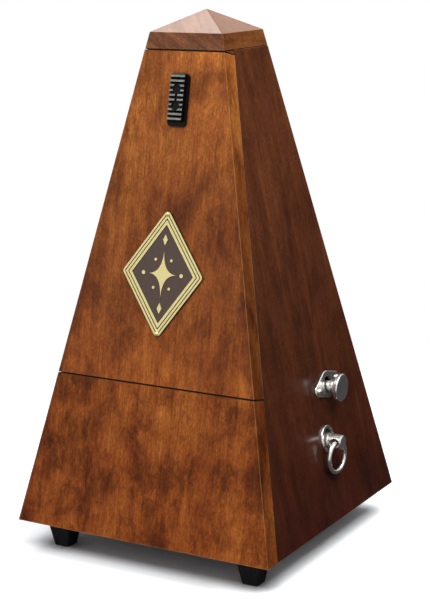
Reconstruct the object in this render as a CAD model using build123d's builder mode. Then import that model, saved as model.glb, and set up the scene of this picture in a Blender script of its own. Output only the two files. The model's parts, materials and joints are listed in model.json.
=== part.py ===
"""Wind-up pyramid metronome with a bell, built as separate pieces (millimetres, +Z up).

The origin is on the table under the middle of the case.  The front faces -Y and the key is on +X.
All four walls lean in by the same angle, so the front pieces are drawn on planes parallel to the
sloped front: x across, y up the slope, z outward.  "Depth" is measured inward from that face.
"""
from build123d import *
from math import acos, atan2, cos, degrees, pi, radians, sin, sqrt, tan
import os

os.makedirs("parts", exist_ok=True)

# ---------------------------------------------------------------- driving dimensions
base_width = 117.0  # across the case at its bottom edge
foot_height = 12.5
taper_angle = 11.86  # lean of every wall from upright, degrees
apex_height = 220.0
cap_roof_rise = 8.7  # from the top of the cap's sides to its apex
cap_side_height = 6.6
cap_tenon_height = 8.0
seam_height = 74.4  # joint between front cover and lower front panel, on the face

board_thickness = 8.0  # front cover and lower front panel
skin_thickness = 2.6  # what the routed recess leaves of the front boards
recess_rim = 4.0  # wood left beside the recess
recess_clearance = 1.3  # between the rod's tip and the recess
recess_corner = 3.0
recess_web = 2.4  # wood between the recess and the latch's slot
bob_well_half = 30.0
bob_well_margin = 6.0
bob_well_corner = 5.0
side_thickness = 6.0
back_thickness = 6.0
floor_thickness = 6.0

gap = 0.3  # clearance round loose pieces
running_fit = 0.05  # radial clearance of a shaft in its bearing
close_fit = 0.02  # radial clearance of pieces fixed to each other
sliding_fit = 0.1  # flat guides and screw holes

# feet
foot_top = 11.6
foot_bottom = 6.9
foot_inset = 13.85  # from the case's bottom edge to the middle of a foot
foot_edge_radius = 0.8

foot_screw_head = 1.9
foot_screw_shank = 1.0
foot_screw_bite = 4.0  # how far the shank enters the floor
foot_screw_recess = 5.0

# pendulum
pivot_slope = 59.2  # pivot's distance up the front face
rod_depth = 5.6
rod_width = 3.0
rod_thickness = 1.0
rod_below = 37.0
rod_boss = 3.0
bob_radius = 16.0
bob_below = 28.0
bob_thickness = 4.4
bob_bevel = 0.6
tempo_weight_at = 62.0  # from the pivot
tempo_weight_height = 12.0
tempo_weight_top = 15.0
tempo_weight_bottom = 11.0
tempo_weight_thickness = 3.4
tempo_weight_corner = 1.0
pendulum_arbor_radius = 1.0
pallet_hub = 1.8
pallet_length = 7.0
pallet_blade = 0.8
pallet_reach = 4.7
pallet_clearance = 0.8
bridge_clearance = 2.5  # between the bridge and the pallets
bridge_below_pivot = 2.6
bridge_above_pivot = 3.8
bridge_thickness = 2.5
cock_tip = 3.2
cock_clearance = 2.2
cock_width = 5.0
cock_thickness = 2.0
cock_foot = 5.0

# scale plate
scale_depth = 11.0
scale_thickness = 1.5
scale_bottom = 52.0
scale_below_cap = 10.4
scale_arbor_hole = 2.0
scale_low_screw = 8.0  # from the plate's lower edge
scale_high_screw = 12.0  # from the plate's upper edge
scale_screw_bite = 4.0
cleat_width = 5.0
cleat_depth = 5.0

# movement: wheel train, arbors along X, places as (y, z)
plate_thickness = 1.5
left_plate_x = -19.5
right_plate_inset = 12.17  # from the wall's outer face to the right plate at its top edge
plate_corner = 4.0
plate_outline = (  # (y, height over the floor)
    (-33.5, 0.0),
    (31.0, 0.0),
    (31.0, 47.5),
    (20.0, 57.5),
    (-2.0, 57.5),
    (-12.0, 51.5),
    (-26.5, 51.5),
)
key_arbor_at = (6.6, 45.2)
great_teeth = 60
great_module = 0.65
second_pinion_leaves = 12
second_teeth = 50
second_module = 0.5
escape_pinion_leaves = 10
escape_teeth = 12
escape_radius = 11.0
escape_root = 8.6
escape_thickness = 1.0
escape_lead = 0.15
escape_windows = 4
escape_window = 1.8
escape_window_at = 5.2
escape_below_arbor = 13.2
escape_depth = 32.0
pressure_angle = 20.0
tooth_slack = 0.12  # taken off every tooth at the pitch circle
wheel_addendum = 0.85
wheel_dedendum = 1.25
flank_step = 0.4  # point on a tooth's flank below the pitch circle, in modules
great_windows = 5
great_window = 4.0
great_window_at = 12.5
great_window_start = 66.0
great_x = -15.0
great_width = 2.5
second_x = -8.0
second_width = 1.5
second_windows = 4
second_window = 3.0
second_window_at = 6.8
pinion_overhang = 1.5
arbor_radius = 1.25
pivot_radius = 0.8
key_arbor_radius = 2.5
key_pivot_radius = 1.7
pillar_radius = 2.5
frame_foot = 7.0
frame_foot_width = 9.0
frame_foot_at = (-14.0, 20.0)
pillar_screw_length = 5.0
frame_screw_bite = 4.0
screw_shank = 0.9
screw_head = 1.8
screw_head_height = 1.0
screw_slot = 0.4
pillars_at = ((-27.0, 24.0), (26.0, 24.0), (4.0, 71.5))

# mainspring
spring_start_radius = 5.0
spring_half_turns = 12
spring_strip = 0.35
spring_x = 2.0
spring_width = 18.0

# ratchet and click
ratchet_teeth = 18
ratchet_radius = 7.5
ratchet_root = 6.3
ratchet_width = 1.5
ratchet_lead = 0.2
click_distance = 11.5
click_angle = 30.0
click_boss = 1.9
click_outline = ((-3.16, -5.09), (-1.28, -5.77), (1.6, -1.0), (-1.75, 0.7), (-2.14, -2.27))
click_anchor = (16.0, -6.5)
click_bow = (14.3, -1.8)
click_touch = (10.7, 2.0)
click_post = 0.8

# bell beat
cam_lobes = (12, 8, 6, 4)
cam_pitch = 2.5
cam_width = 1.5
cam_hub = 3.0
cam_lobe = 1.2
cam_radius = 5.0
cam_tip = 6.3
selector_at = (14.5, 66.0)
selector_radius = 1.5
sleeve_radius = 3.0
hammer_x = 4.25
hammer_strip = 1.5
hammer_toe = 2.6
hammer_toe_lead = 1.0  # toe's edge before the cams' middle
hammer_toe_neck = 4.16
hammer_web = 1.2
sleeve_left = 1.75  # sleeve's reach from the lever's left face
sleeve_right = 5.25
hammer_spring_reach = 10.0
hammer_spring_drop = 1.8
hammer_head_before_seat = 1.33  # from the bell's seat on the back panel
hammer_head_below_seat = 22.06
hammer_head_radius = 2.5
hammer_head_height = 3.6
hammer_head_rounding = 0.8
selector_overhang = 2.0  # rod left of the left plate when the knob is out
collar_radius = 2.6
collar_width = 1.2
bell_radius = 17.0
bell_height = 11.0
bell_wall = 1.0
bell_rim_depth = 8.0
bell_slope = 75.4
bell_x = 10.0
bell_hole = 1.2
bell_crown = 3.0  # radius of the flat under the screw head
bell_post_radius = 1.8

# winding key
stem_radius = 3.15
stem_inset = 9.8  # from the wall's outer face inward
stem_reach = 7.17  # from the wall's outer face outward
stem_socket = 6.0
stem_bevel = 0.5
ring_radius = 6.4
ring_wire = 0.98
ring_hole_reach = 4.5
ring_turn = 4.0  # how far the ring hangs turned from square, degrees
ring_hole = 1.65
ring_hole_flare = 0.6
eyelet_flange = 5.7
eyelet_bore = 4.2
eyelet_wall = 0.5
eyelet_rounding = 0.4
eyelet_thickness = 0.9

# selector knob and its plate
knob_radius = 5.8
knob_reach = 7.4  # from the wall's outer face to the knob's face
knob_length = 9.66
knob_disc = 2.1
knob_dish = 0.6  # how far the disc's back slopes to the neck
knob_edge = 0.6  # rounding of the disc's face
knob_rim = 0.45
knob_neck = 2.3
knob_collar = 3.0
knob_collar_at = 5.06  # behind the knob's face
knob_collar_width = 0.9
escutcheon_half_width = 11.4
escutcheon_half_height = 5.6
escutcheon_end = 2.4
escutcheon_tilt = 7.0  # front end lower than the rear end, degrees
escutcheon_thickness = 0.8
escutcheon_bore = 3.4
escutcheon_pin_spread = 8.6
escutcheon_bevel = 0.25

# latch
latch_flange_width = 8.4
latch_flange_length = 20.4
latch_flange_corner = 1.2
latch_flange_thickness = 0.8
latch_below_cap = 9.6
latch_block_width = 6.4
latch_block_length = 18.7
latch_height = 3.0
latch_ribs = 10
latch_rib_start = 0.28  # of a rib's pitch, where its flat top begins
latch_rib_end = 0.62
latch_travel = 4.0
latch_valley = 2.3
latch_dimple = 1.9
latch_dimple_depth = 0.7
latch_dimples_at = (3.2, 6.8)  # in rib pitches
latch_groove = 1.2  # width of the groove that joins the dimples
latch_screw_length = 4.0
latch_stem_below_cap = 18.4
latch_stem_width = 3.4
latch_stem_length = 8.0
tongue_width = 8.0
tongue_thickness = 1.0
tongue_length = 22.9
tongue_corner = 1.5
tongue_clearance = 0.5
guide_below_cap = 7.4
guide_width = 3.0
guide_strip = 0.7
guide_tab = 2.5
latch_wire = 0.6
latch_spring_bow = 4.0
latch_spring_inset = 1.0
keeper_strip = 0.8
keeper_width = 12.0
keeper_length = 7.6
keeper_above_joint = 1.2

# badge
badge_slope = 107.8
badge_half_width = 18.5
badge_half_height = 25.8
badge_thickness = 0.8
badge_field = 14.1
badge_line = 0.4
badge_pin_spread = 23.75
badge_corner = 1.6
badge_inner_corner = 0.3
badge_lines = (0.8, 2.1)
badge_engraving = 0.25
badge_pin_head = 0.9
pin_head = 1.1  # dome radius
pin_shank = 0.5
pin_length = 2.5

# cover pegs
peg_radius = 2.0
peg_inset = 7.5  # from the case's side to the middle of a peg
peg_length = 4.0
peg_depth = 4.0
peg_bevel = 0.5

# ---------------------------------------------------------------- shared geometry
lean = radians(taper_angle)
half_base = base_width / 2
front_foot = Vector(0, -half_base, foot_height)
back_foot = Vector(0, half_base, foot_height)
right_foot = Vector(half_base, 0, foot_height)
left_foot = Vector(-half_base, 0, foot_height)


def front_plane(depth=0.0):
    inward = Vector(0, cos(lean), -sin(lean))
    return Plane(origin=front_foot + inward * depth, x_dir=(1, 0, 0), z_dir=inward * -1)


def back_plane(depth=0.0):
    inward = Vector(0, -cos(lean), -sin(lean))
    return Plane(origin=back_foot + inward * depth, x_dir=(-1, 0, 0), z_dir=inward * -1)


def right_plane(depth=0.0):
    inward = Vector(-cos(lean), 0, -sin(lean))
    return Plane(origin=right_foot + inward * depth, x_dir=(0, 1, 0), z_dir=inward * -1)


def left_plane(depth=0.0):
    inward = Vector(cos(lean), 0, -sin(lean))
    return Plane(origin=left_foot + inward * depth, x_dir=(0, -1, 0), z_dir=inward * -1)


def half_width(height):
    """Half the case's width over its outer faces at a height."""
    return half_base - (height - foot_height) * tan(lean)


def half_width_on_front(slope, depth=0.0):
    """Half the case's width at a distance up the front face and a depth behind it."""
    return half_width(foot_height + slope * cos(lean) - depth * sin(lean))


def slope_of(height):
    """Distance up the front face of a height on that face."""
    return (height - foot_height) / cos(lean)


def bore_slope(height):
    """Distance up a side face of a bore whose middle, halfway through the wall, is at a height."""
    return slope_of(height + side_thickness / 2 * sin(lean))


def front_point(slope, depth):
    """(y, z) of a point on the middle plane of the case."""
    y = -half_base + slope * sin(lean) + depth * cos(lean)
    z = foot_height + slope * cos(lean) - depth * sin(lean)
    return y, z


def back_point(slope, depth):
    """(y, z) of a point on the middle plane, up the back face and inward from it."""
    y = half_base - slope * sin(lean) - depth * cos(lean)
    z = foot_height + slope * cos(lean) - depth * sin(lean)
    return y, z


def keep_inside(*planes):
    """Trim the current part to what lies behind every plane."""
    for plane in planes:
        split(bisect_by=plane, keep=Keep.BOTTOM)


def keep_above(height):
    split(bisect_by=Plane.XY.offset(height), keep=Keep.TOP)


def keep_below(height):
    split(bisect_by=Plane.XY.offset(height), keep=Keep.BOTTOM)


def finish(builder, name):
    """Label a finished piece and write it."""
    builder.part.label = name
    export_step(builder.part, f"parts/{name}.step")


def screw(head_radius, head_height, shank_radius, shank_length, slot_width=0.0):
    """A slotted cheese-head screw standing on the local plane, its shank going down."""
    with BuildPart(mode=Mode.PRIVATE) as body:
        Cylinder(head_radius, head_height, align=(Align.CENTER, Align.CENTER, Align.MIN))
        Cylinder(shank_radius, shank_length, align=(Align.CENTER, Align.CENTER, Align.MAX))
        if slot_width:
            with Locations((0, 0, head_height)):
                Box(4 * head_radius, slot_width, head_height, mode=Mode.SUBTRACT)
    return body.part


cap_edge = apex_height - cap_roof_rise
cap_bottom = cap_edge - cap_side_height
seam_slope = slope_of(seam_height)
cap_slope = slope_of(cap_bottom)
cover_low = seam_slope + gap
cover_high = cap_slope - gap
cover_thickness = board_thickness - gap
floor_top = foot_height + floor_thickness
foot_centre = half_base - foot_inset
peg_spread = half_width(seam_height) - peg_inset
plate_top = floor_top + max(height for _, height in plate_outline)
right_plate_x = half_width(plate_top) - right_plate_inset
key_y, key_z = key_arbor_at
selector_y, selector_z = selector_at
scale_top = cap_slope - scale_below_cap

# latch: everything hangs from the joint under the cap, and the pendulum ends below its slot
latch_flange_high = cap_slope - latch_below_cap
latch_flange_low = latch_flange_high - latch_flange_length
latch_block_low = latch_flange_high - latch_block_length
latch_stem_at = cap_slope - latch_stem_below_cap
tongue_high = cap_slope - tongue_clearance
tongue_low = tongue_high - tongue_length
guide_slope = cap_slope - guide_below_cap
keeper_high = cap_slope + keeper_above_joint
keeper_low = keeper_high - keeper_length
slot_low = latch_stem_at - latch_stem_length / 2 - latch_travel - sliding_fit
slot_high = latch_stem_at + latch_stem_length / 2 + sliding_fit
recess_top = slot_low - recess_web
rod_above = recess_top - recess_clearance - pivot_slope

# key and knob stand out of the right wall
key_wall = half_width(key_z)
stem_start = key_wall - stem_inset
stem_end = key_wall + stem_reach
ring_hole_x = key_wall + ring_hole_reach
knob_face_x = half_width(selector_z) + knob_reach
knob_back = knob_face_x - knob_disc
knob_start = knob_face_x - knob_length
knob_collar_x = knob_face_x - knob_collar_at

# wheel centres: the escape arbor hangs below the pendulum arbor, the second arbor meshes with both
escape_at = front_point(pivot_slope - escape_below_arbor, escape_depth)
great_to_second = (great_teeth + second_pinion_leaves) * great_module / 2
second_to_escape = (second_teeth + escape_pinion_leaves) * second_module / 2
great_to_escape = sqrt((escape_at[0] - key_y) ** 2 + (escape_at[1] - key_z) ** 2)
along = (great_to_second**2 - second_to_escape**2 + great_to_escape**2) / (2 * great_to_escape)
aside = sqrt(great_to_second**2 - along**2)
to_escape = ((escape_at[0] - key_y) / great_to_escape, (escape_at[1] - key_z) / great_to_escape)
second_at = (
    key_y + along * to_escape[0] - aside * to_escape[1],
    key_z + along * to_escape[1] + aside * to_escape[0],
)
great_mesh_angle = degrees(atan2(second_at[1] - key_z, second_at[0] - key_y))
second_mesh_angle = degrees(atan2(escape_at[1] - second_at[1], escape_at[0] - second_at[0]))


def beside(place, x):
    """Plane across the arbors at a place (y, z) and distance x, looking along +X."""
    return Plane(origin=(x, place[0], place[1]), x_dir=(0, 1, 0), z_dir=(1, 0, 0))


foot_places = {
    "front_left_foot": (-foot_centre, -foot_centre),
    "front_right_foot": (foot_centre, -foot_centre),
    "rear_foot": (0, foot_centre),
}
frame_screws_at = [
    (x, y)
    for x in (left_plate_x - frame_foot / 2, right_plate_x + plate_thickness + frame_foot / 2)
    for y in frame_foot_at
]

# ---------------------------------------------------------------- wooden case
with BuildPart() as base_board:
    with BuildSketch(Plane.XY.offset(foot_height)):
        Rectangle(base_width, base_width)
    extrude(amount=floor_thickness)
    keep_inside(
        front_plane(board_thickness),
        back_plane(back_thickness),
        left_plane(side_thickness),
        right_plane(side_thickness),
    )
    with Locations(*[(x, y, foot_height) for x, y in foot_places.values()]):
        Cylinder(
            foot_screw_shank + sliding_fit,
            foot_screw_bite + gap,
            align=(Align.CENTER, Align.CENTER, Align.MIN),
            mode=Mode.SUBTRACT,
        )
    with Locations(*[(x, y, floor_top) for x, y in frame_screws_at]):
        Cylinder(
            screw_shank + sliding_fit,
            frame_screw_bite + gap,
            align=(Align.CENTER, Align.CENTER, Align.MAX),
            mode=Mode.SUBTRACT,
        )
finish(base_board, "base_board")

wall_bores = ((key_arbor_at, eyelet_bore + eyelet_wall), (selector_at, escutcheon_bore))
for side_name, side_face, bores in (
    ("left_side_panel", left_plane, ()),
    ("right_side_panel", right_plane, wall_bores),
):
    with BuildPart() as side_panel:
        with BuildSketch(side_face()):
            with Locations((0, apex_height / 2)):
                Rectangle(base_width, apex_height + base_width)
        extrude(amount=-side_thickness)
        keep_above(foot_height)
        keep_below(cap_bottom)
        keep_inside(front_plane(board_thickness), back_plane())
        for place, radius in bores:
            with Locations(side_face().location):
                with Locations((place[0], bore_slope(place[1]))):
                    Hole(radius + close_fit, depth=2 * side_thickness)
    finish(side_panel, side_name)

with BuildPart() as back_panel:
    with BuildSketch(back_plane()):
        with Locations((0, apex_height / 2)):
            Rectangle(base_width, apex_height + base_width)
    extrude(amount=-back_thickness)
    keep_above(foot_height)
    keep_below(cap_bottom)
    keep_inside(left_plane(side_thickness), right_plane(side_thickness))
finish(back_panel, "back_panel")

bob_well_bottom = pivot_slope - bob_below - bob_radius - bob_well_margin
peg_slot_depth = peg_length + 2 * gap
with BuildPart() as lower_front_panel:
    with BuildSketch(front_plane()):
        with Locations((0, seam_slope)):
            Rectangle(base_width, 2 * base_width, align=(Align.CENTER, Align.MAX))
    extrude(amount=-board_thickness)
    keep_above(foot_height)
    keep_inside(left_plane(), right_plane())
    with BuildSketch(front_plane(board_thickness)) as bob_well:
        with Locations((0, bob_well_bottom)):
            Rectangle(
                2 * bob_well_half,
                seam_slope - bob_well_bottom,
                align=(Align.CENTER, Align.MIN),
            )
        fillet(bob_well.vertices().group_by(Axis.Z)[0], radius=bob_well_corner)
    extrude(amount=board_thickness - skin_thickness, mode=Mode.SUBTRACT)
    with BuildSketch(front_plane(board_thickness)):
        with Locations((-peg_spread, seam_slope), (peg_spread, seam_slope)):
            Rectangle(2 * (peg_radius + gap), peg_slot_depth, align=(Align.CENTER, Align.MAX))
    extrude(amount=board_thickness - peg_depth + peg_radius + gap, mode=Mode.SUBTRACT)
finish(lower_front_panel, "lower_front_panel")

roof_angle = degrees(atan2(apex_height - cap_edge, half_width(cap_edge)))
roof_rise = cos(radians(roof_angle))
roof_run = sin(radians(roof_angle))
roof_faces = [
    Plane(
        origin=(0, 0, apex_height),
        x_dir=(-to_back, to_right, 0),
        z_dir=(to_right * roof_run, to_back * roof_run, roof_rise),
    )
    for to_right, to_back in ((1, 0), (0, 1), (-1, 0), (0, -1))
]
tenon_depth = scale_depth + scale_thickness
tenon_low = cap_bottom - cap_tenon_height
with BuildPart() as cap_tenon:
    with BuildSketch(Plane.XY.offset(tenon_low)):
        Rectangle(base_width, base_width)
    extrude(amount=cap_bottom - tenon_low)
    keep_inside(
        front_plane(tenon_depth),
        back_plane(back_thickness),
        left_plane(side_thickness),
        right_plane(side_thickness),
    )
lip_front = front_point(cap_slope, 0)
lip_back = front_point(cap_slope, board_thickness)
with BuildPart() as top_cap:
    with BuildSketch(Plane.XY.offset(cap_bottom)):
        Rectangle(2 * half_width(cap_bottom), 2 * half_width(cap_bottom))
    extrude(amount=apex_height - cap_bottom)
    with BuildSketch(Plane.YZ):
        with BuildLine():
            Polyline(lip_front, lip_back, (lip_back[0], cap_bottom), close=True)
        make_face()
    extrude(amount=base_width / 2, both=True)
    keep_inside(front_plane(), back_plane(), left_plane(), right_plane(), *roof_faces)
    add(cap_tenon.part)
finish(top_cap, "top_cap")

# ---------------------------------------------------------------- feet
for foot_name, place in foot_places.items():
    with BuildPart() as foot:
        with BuildSketch(Plane.XY.offset(foot_height)):
            with Locations(place):
                RectangleRounded(foot_top, foot_top, foot_edge_radius)
        with BuildSketch(Plane.XY):
            with Locations(place):
                RectangleRounded(foot_bottom, foot_bottom, foot_edge_radius)
        loft(ruled=True)
        with Locations((place[0], place[1], 0)):
            Cylinder(
                foot_screw_head + sliding_fit,
                foot_screw_recess,
                align=(Align.CENTER, Align.CENTER, Align.MIN),
                mode=Mode.SUBTRACT,
            )
            Cylinder(
                foot_screw_shank + sliding_fit,
                foot_height,
                align=(Align.CENTER, Align.CENTER, Align.MIN),
                mode=Mode.SUBTRACT,
            )
    finish(foot, foot_name)

with BuildPart() as foot_screws:
    for place in foot_places.values():
        with Locations(Location((place[0], place[1], foot_screw_recess), (180, 0, 0))):
            add(
                screw(
                    foot_screw_head,
                    screw_head_height,
                    foot_screw_shank,
                    foot_height - foot_screw_recess + foot_screw_bite,
                    screw_slot,
                )
            )
finish(foot_screws, "foot_screws")

# ---------------------------------------------------------------- plates on the right side
escutcheon_middle = Location((selector_y, bore_slope(selector_z)), escutcheon_tilt)
with BuildPart() as knob_escutcheon:
    with BuildSketch(right_plane()):
        with Locations(escutcheon_middle):
            with BuildSketch(mode=Mode.PRIVATE) as lozenge:
                Circle(escutcheon_half_height)
                with Locations(
                    (escutcheon_end - escutcheon_half_width, 0),
                    (escutcheon_half_width - escutcheon_end, 0),
                ):
                    Circle(escutcheon_end)
                make_hull()
            add(lozenge.sketch)
            Circle(escutcheon_bore, mode=Mode.SUBTRACT)
    extrude(amount=escutcheon_thickness)
    chamfer(knob_escutcheon.faces().sort_by(Axis.X)[-1].outer_wire().edges(), length=escutcheon_bevel)
finish(knob_escutcheon, "knob_escutcheon")

with BuildPart() as escutcheon_pins:
    with Locations(right_plane(-escutcheon_thickness).location):
        with Locations(escutcheon_middle):
            with Locations((-escutcheon_pin_spread, 0), (escutcheon_pin_spread, 0)):
                Sphere(pin_head, arc_size1=0, align=(Align.CENTER, Align.CENTER, Align.MIN))
finish(escutcheon_pins, "escutcheon_pins")

with BuildPart() as key_eyelet:
    with Locations(right_plane().location):
        with Locations((key_y, bore_slope(key_z))):
            Cylinder(eyelet_flange, eyelet_thickness, align=(Align.CENTER, Align.CENTER, Align.MIN))
            Cylinder(
                eyelet_bore + eyelet_wall,
                side_thickness,
                align=(Align.CENTER, Align.CENTER, Align.MAX),
            )
            Hole(eyelet_bore, depth=2 * side_thickness)
    fillet(key_eyelet.edges().filter_by(GeomType.CIRCLE).sort_by(Axis.X)[-2:], radius=eyelet_rounding)
finish(key_eyelet, "key_eyelet")

# ---------------------------------------------------------------- front cover and badge
pin_hole = pin_shank + close_fit
badge_pins_at = ((0, badge_slope - badge_pin_spread), (0, badge_slope + badge_pin_spread))
peg_places = [
    Location(
        Plane(
            origin=front_plane(peg_depth).from_local_coords((side * peg_spread, cover_low, 0)),
            x_dir=(1, 0, 0),
            z_dir=front_plane().y_dir,
        )
    )
    for side in (-1, 1)
]
with BuildPart() as front_cover:
    with BuildSketch(front_plane()):
        with Locations((0, cover_low)):
            Rectangle(base_width, cover_high - cover_low, align=(Align.CENTER, Align.MIN))
    extrude(amount=-cover_thickness)
    keep_inside(left_plane(), right_plane())
    with BuildSketch(front_plane(cover_thickness)) as recess:
        with BuildLine():
            low_half = half_width_on_front(cover_low, cover_thickness) - recess_rim
            top_half = half_width_on_front(recess_top, cover_thickness) - recess_rim
            Polyline(
                (-low_half, cover_low),
                (low_half, cover_low),
                (top_half, recess_top),
                (-top_half, recess_top),
                close=True,
            )
        make_face()
        fillet(recess.vertices().group_by(Axis.Z)[-1], radius=recess_corner)
    extrude(amount=cover_thickness - skin_thickness, mode=Mode.SUBTRACT)
    with BuildSketch(front_plane()):
        with Locations((0, (slot_low + slot_high) / 2)):
            Rectangle(latch_stem_width + 2 * sliding_fit, slot_high - slot_low)
    extrude(amount=-cover_thickness, mode=Mode.SUBTRACT)
    with Locations(front_plane().location):
        with Locations(*badge_pins_at):
            Hole(pin_hole, depth=pin_length)
    with Locations(*peg_places):
        Cylinder(
            peg_radius + close_fit,
            peg_length,
            align=(Align.CENTER, Align.CENTER, Align.MIN),
            mode=Mode.SUBTRACT,
        )
finish(front_cover, "front_cover")

with BuildPart() as cover_pegs:
    with Locations(*peg_places):
        Cylinder(peg_radius, 2 * peg_length)
    chamfer(cover_pegs.edges().filter_by(GeomType.CIRCLE).group_by(Axis.Z)[0], length=peg_bevel)
finish(cover_pegs, "cover_pegs")


badge_side = sqrt(badge_half_width**2 + badge_half_height**2)
badge_border = (badge_half_width - badge_field) * badge_half_height / badge_side


def rhombus(inset=0.0):
    """Badge outline moved in by a distance, drawn round the current location."""
    half_across = badge_half_width - inset * badge_side / badge_half_height
    half_tall = half_across * badge_half_height / badge_half_width
    corners = ((-half_across, 0), (0, -half_tall), (half_across, 0), (0, half_tall))
    with BuildSketch(mode=Mode.PRIVATE) as outline:
        Polygon(*corners)
        fillet(outline.vertices(), radius=max(badge_corner - inset, badge_inner_corner))
    return outline.sketch


with BuildPart() as badge_plate:
    with BuildSketch(front_plane()):
        with Locations((0, badge_slope)):
            add(rhombus())
    extrude(amount=badge_thickness)
    for inset in badge_lines:
        with BuildSketch(front_plane(-badge_thickness)):
            with Locations((0, badge_slope)):
                add(rhombus(inset))
                add(rhombus(inset + badge_line), mode=Mode.SUBTRACT)
        extrude(amount=-badge_engraving, mode=Mode.SUBTRACT)
    with BuildSketch(front_plane(-badge_thickness)):
        with Locations((0, badge_slope)):
            add(rhombus(badge_border))
    extrude(amount=-badge_engraving, mode=Mode.SUBTRACT)
    with Locations(front_plane(-badge_thickness).location):
        with Locations(*badge_pins_at):
            Hole(pin_hole, depth=badge_thickness)
finish(badge_plate, "badge_plate")

with BuildPart() as badge_pins:
    with Locations(front_plane(-badge_thickness).location):
        with Locations(*badge_pins_at):
            Sphere(badge_pin_head, arc_size1=0, align=(Align.CENTER, Align.CENTER, Align.MIN))
            Cylinder(
                pin_shank,
                badge_thickness + pin_length - gap,
                align=(Align.CENTER, Align.CENTER, Align.MAX),
            )
finish(badge_pins, "badge_pins")

# ---------------------------------------------------------------- latch
with BuildPart() as latch_button:
    with BuildSketch(front_plane(-sliding_fit)) as flange:
        with Locations((0, (latch_flange_low + latch_flange_high) / 2)):
            Rectangle(latch_flange_width, latch_flange_high - latch_flange_low)
        fillet(flange.vertices(), radius=latch_flange_corner)
    extrude(amount=latch_flange_thickness)
    rib_pitch = latch_block_length / latch_ribs
    for rib in range(latch_ribs):
        low = latch_block_low + rib * rib_pitch
        with BuildSketch(Plane.YZ):
            with BuildLine():
                Polyline(
                    front_point(low, -sliding_fit),
                    front_point(low + rib_pitch, -sliding_fit),
                    front_point(low + rib_pitch, -latch_valley),
                    front_point(low + latch_rib_end * rib_pitch, -latch_height),
                    front_point(low + latch_rib_start * rib_pitch, -latch_height),
                    front_point(low, -latch_valley),
                    close=True,
                )
            make_face()
        extrude(amount=latch_block_width / 2, both=True)
    with Locations(front_plane(-latch_height).location):
        with Locations(*[(0, latch_block_low + ribs * rib_pitch) for ribs in latch_dimples_at]):
            Cylinder(latch_dimple, 2 * latch_dimple_depth, mode=Mode.SUBTRACT)
        with Locations((0, latch_block_low + sum(latch_dimples_at) / 2 * rib_pitch)):
            Box(
                latch_groove,
                (latch_dimples_at[1] - latch_dimples_at[0]) * rib_pitch,
                2 * latch_dimple_depth,
                mode=Mode.SUBTRACT,
            )
    with BuildSketch(front_plane(-sliding_fit)):
        with Locations((0, latch_stem_at)):
            Rectangle(latch_stem_width, latch_stem_length)
    extrude(amount=-(cover_thickness + 2 * sliding_fit))
    with Locations(front_plane(board_thickness).location):
        with Locations((0, latch_stem_at)):
            Cylinder(
                screw_shank,
                latch_screw_length + gap,
                align=(Align.CENTER, Align.CENTER, Align.MIN),
                mode=Mode.SUBTRACT,
            )
finish(latch_button, "latch_button")

tongue_face = front_plane(cover_thickness + sliding_fit)
with BuildPart() as latch_tongue:
    with BuildSketch(tongue_face) as tongue:
        with Locations((0, tongue_low)):
            Rectangle(tongue_width, tongue_high - tongue_low, align=(Align.CENTER, Align.MIN))
        chamfer(tongue.vertices().group_by(Axis.Z)[-1], length=tongue_corner)
        with Locations((0, latch_stem_at)):
            Circle(screw_shank + sliding_fit, mode=Mode.SUBTRACT)
    extrude(amount=-tongue_thickness)
finish(latch_tongue, "latch_tongue")

with BuildPart() as latch_screw:
    with Locations(Location(Plane(
        origin=front_plane(cover_thickness + sliding_fit + tongue_thickness).from_local_coords(
            (0, latch_stem_at, 0)
        ),
        x_dir=(1, 0, 0),
        z_dir=front_plane().z_dir * -1,
    ))):
        add(screw(screw_head, screw_head_height, screw_shank - close_fit, latch_screw_length, screw_slot))
finish(latch_screw, "latch_screw")

with BuildPart() as latch_guide:
    guide_bottom = cover_thickness
    guide_clear = tongue_thickness + 2 * sliding_fit
    for side in (-1, 1):
        with BuildSketch(front_plane(guide_bottom)):
            with Locations((side * (tongue_width / 2 + gap + guide_strip / 2), guide_slope)):
                Rectangle(guide_strip, guide_width)
        extrude(amount=-(guide_clear + guide_strip))
    with BuildSketch(front_plane(guide_bottom + guide_clear)):
        with Locations((0, guide_slope)):
            Rectangle(tongue_width + 2 * (gap + guide_strip), guide_width)
    extrude(amount=-guide_strip)
    with Locations(front_plane(guide_bottom).location):
        for side in (-1, 1):
            with Locations((side * (tongue_width / 2 + gap + guide_strip + guide_tab / 2), guide_slope)):
                Box(guide_tab, guide_width, guide_strip, align=(Align.CENTER, Align.CENTER, Align.MAX))
finish(latch_guide, "latch_guide")

with BuildPart() as latch_spring:
    spring_root = tongue_width / 2 + gap
    with BuildSketch(front_plane(cover_thickness + sliding_fit)):
        with BuildLine():
            ThreePointArc(
                (spring_root + latch_wire, guide_slope - guide_width),
                (spring_root + latch_spring_bow, (guide_slope + tongue_low) / 2),
                (spring_root + latch_wire, tongue_low + latch_spring_inset),
            )
        trace(line_width=latch_wire)
    extrude(amount=-latch_wire)
finish(latch_spring, "latch_spring")

with BuildPart() as latch_keeper:
    with BuildSketch(front_plane(tenon_depth - keeper_strip)):
        with Locations((0, keeper_low)):
            Rectangle(keeper_width, keeper_high - keeper_low, align=(Align.CENTER, Align.MIN))
    extrude(amount=-keeper_strip)
    with BuildSketch(front_plane(board_thickness + sliding_fit)):
        with Locations((0, keeper_high)):
            Rectangle(keeper_width, keeper_strip, align=(Align.CENTER, Align.MAX))
    extrude(amount=-(tenon_depth - board_thickness - sliding_fit))
finish(latch_keeper, "latch_keeper")

# ---------------------------------------------------------------- scale plate
cleat_front = scale_depth + scale_thickness
cleat_inset = cleat_width / 2
scale_screw_slopes = (scale_bottom + scale_low_screw, scale_top - scale_high_screw)


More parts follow.
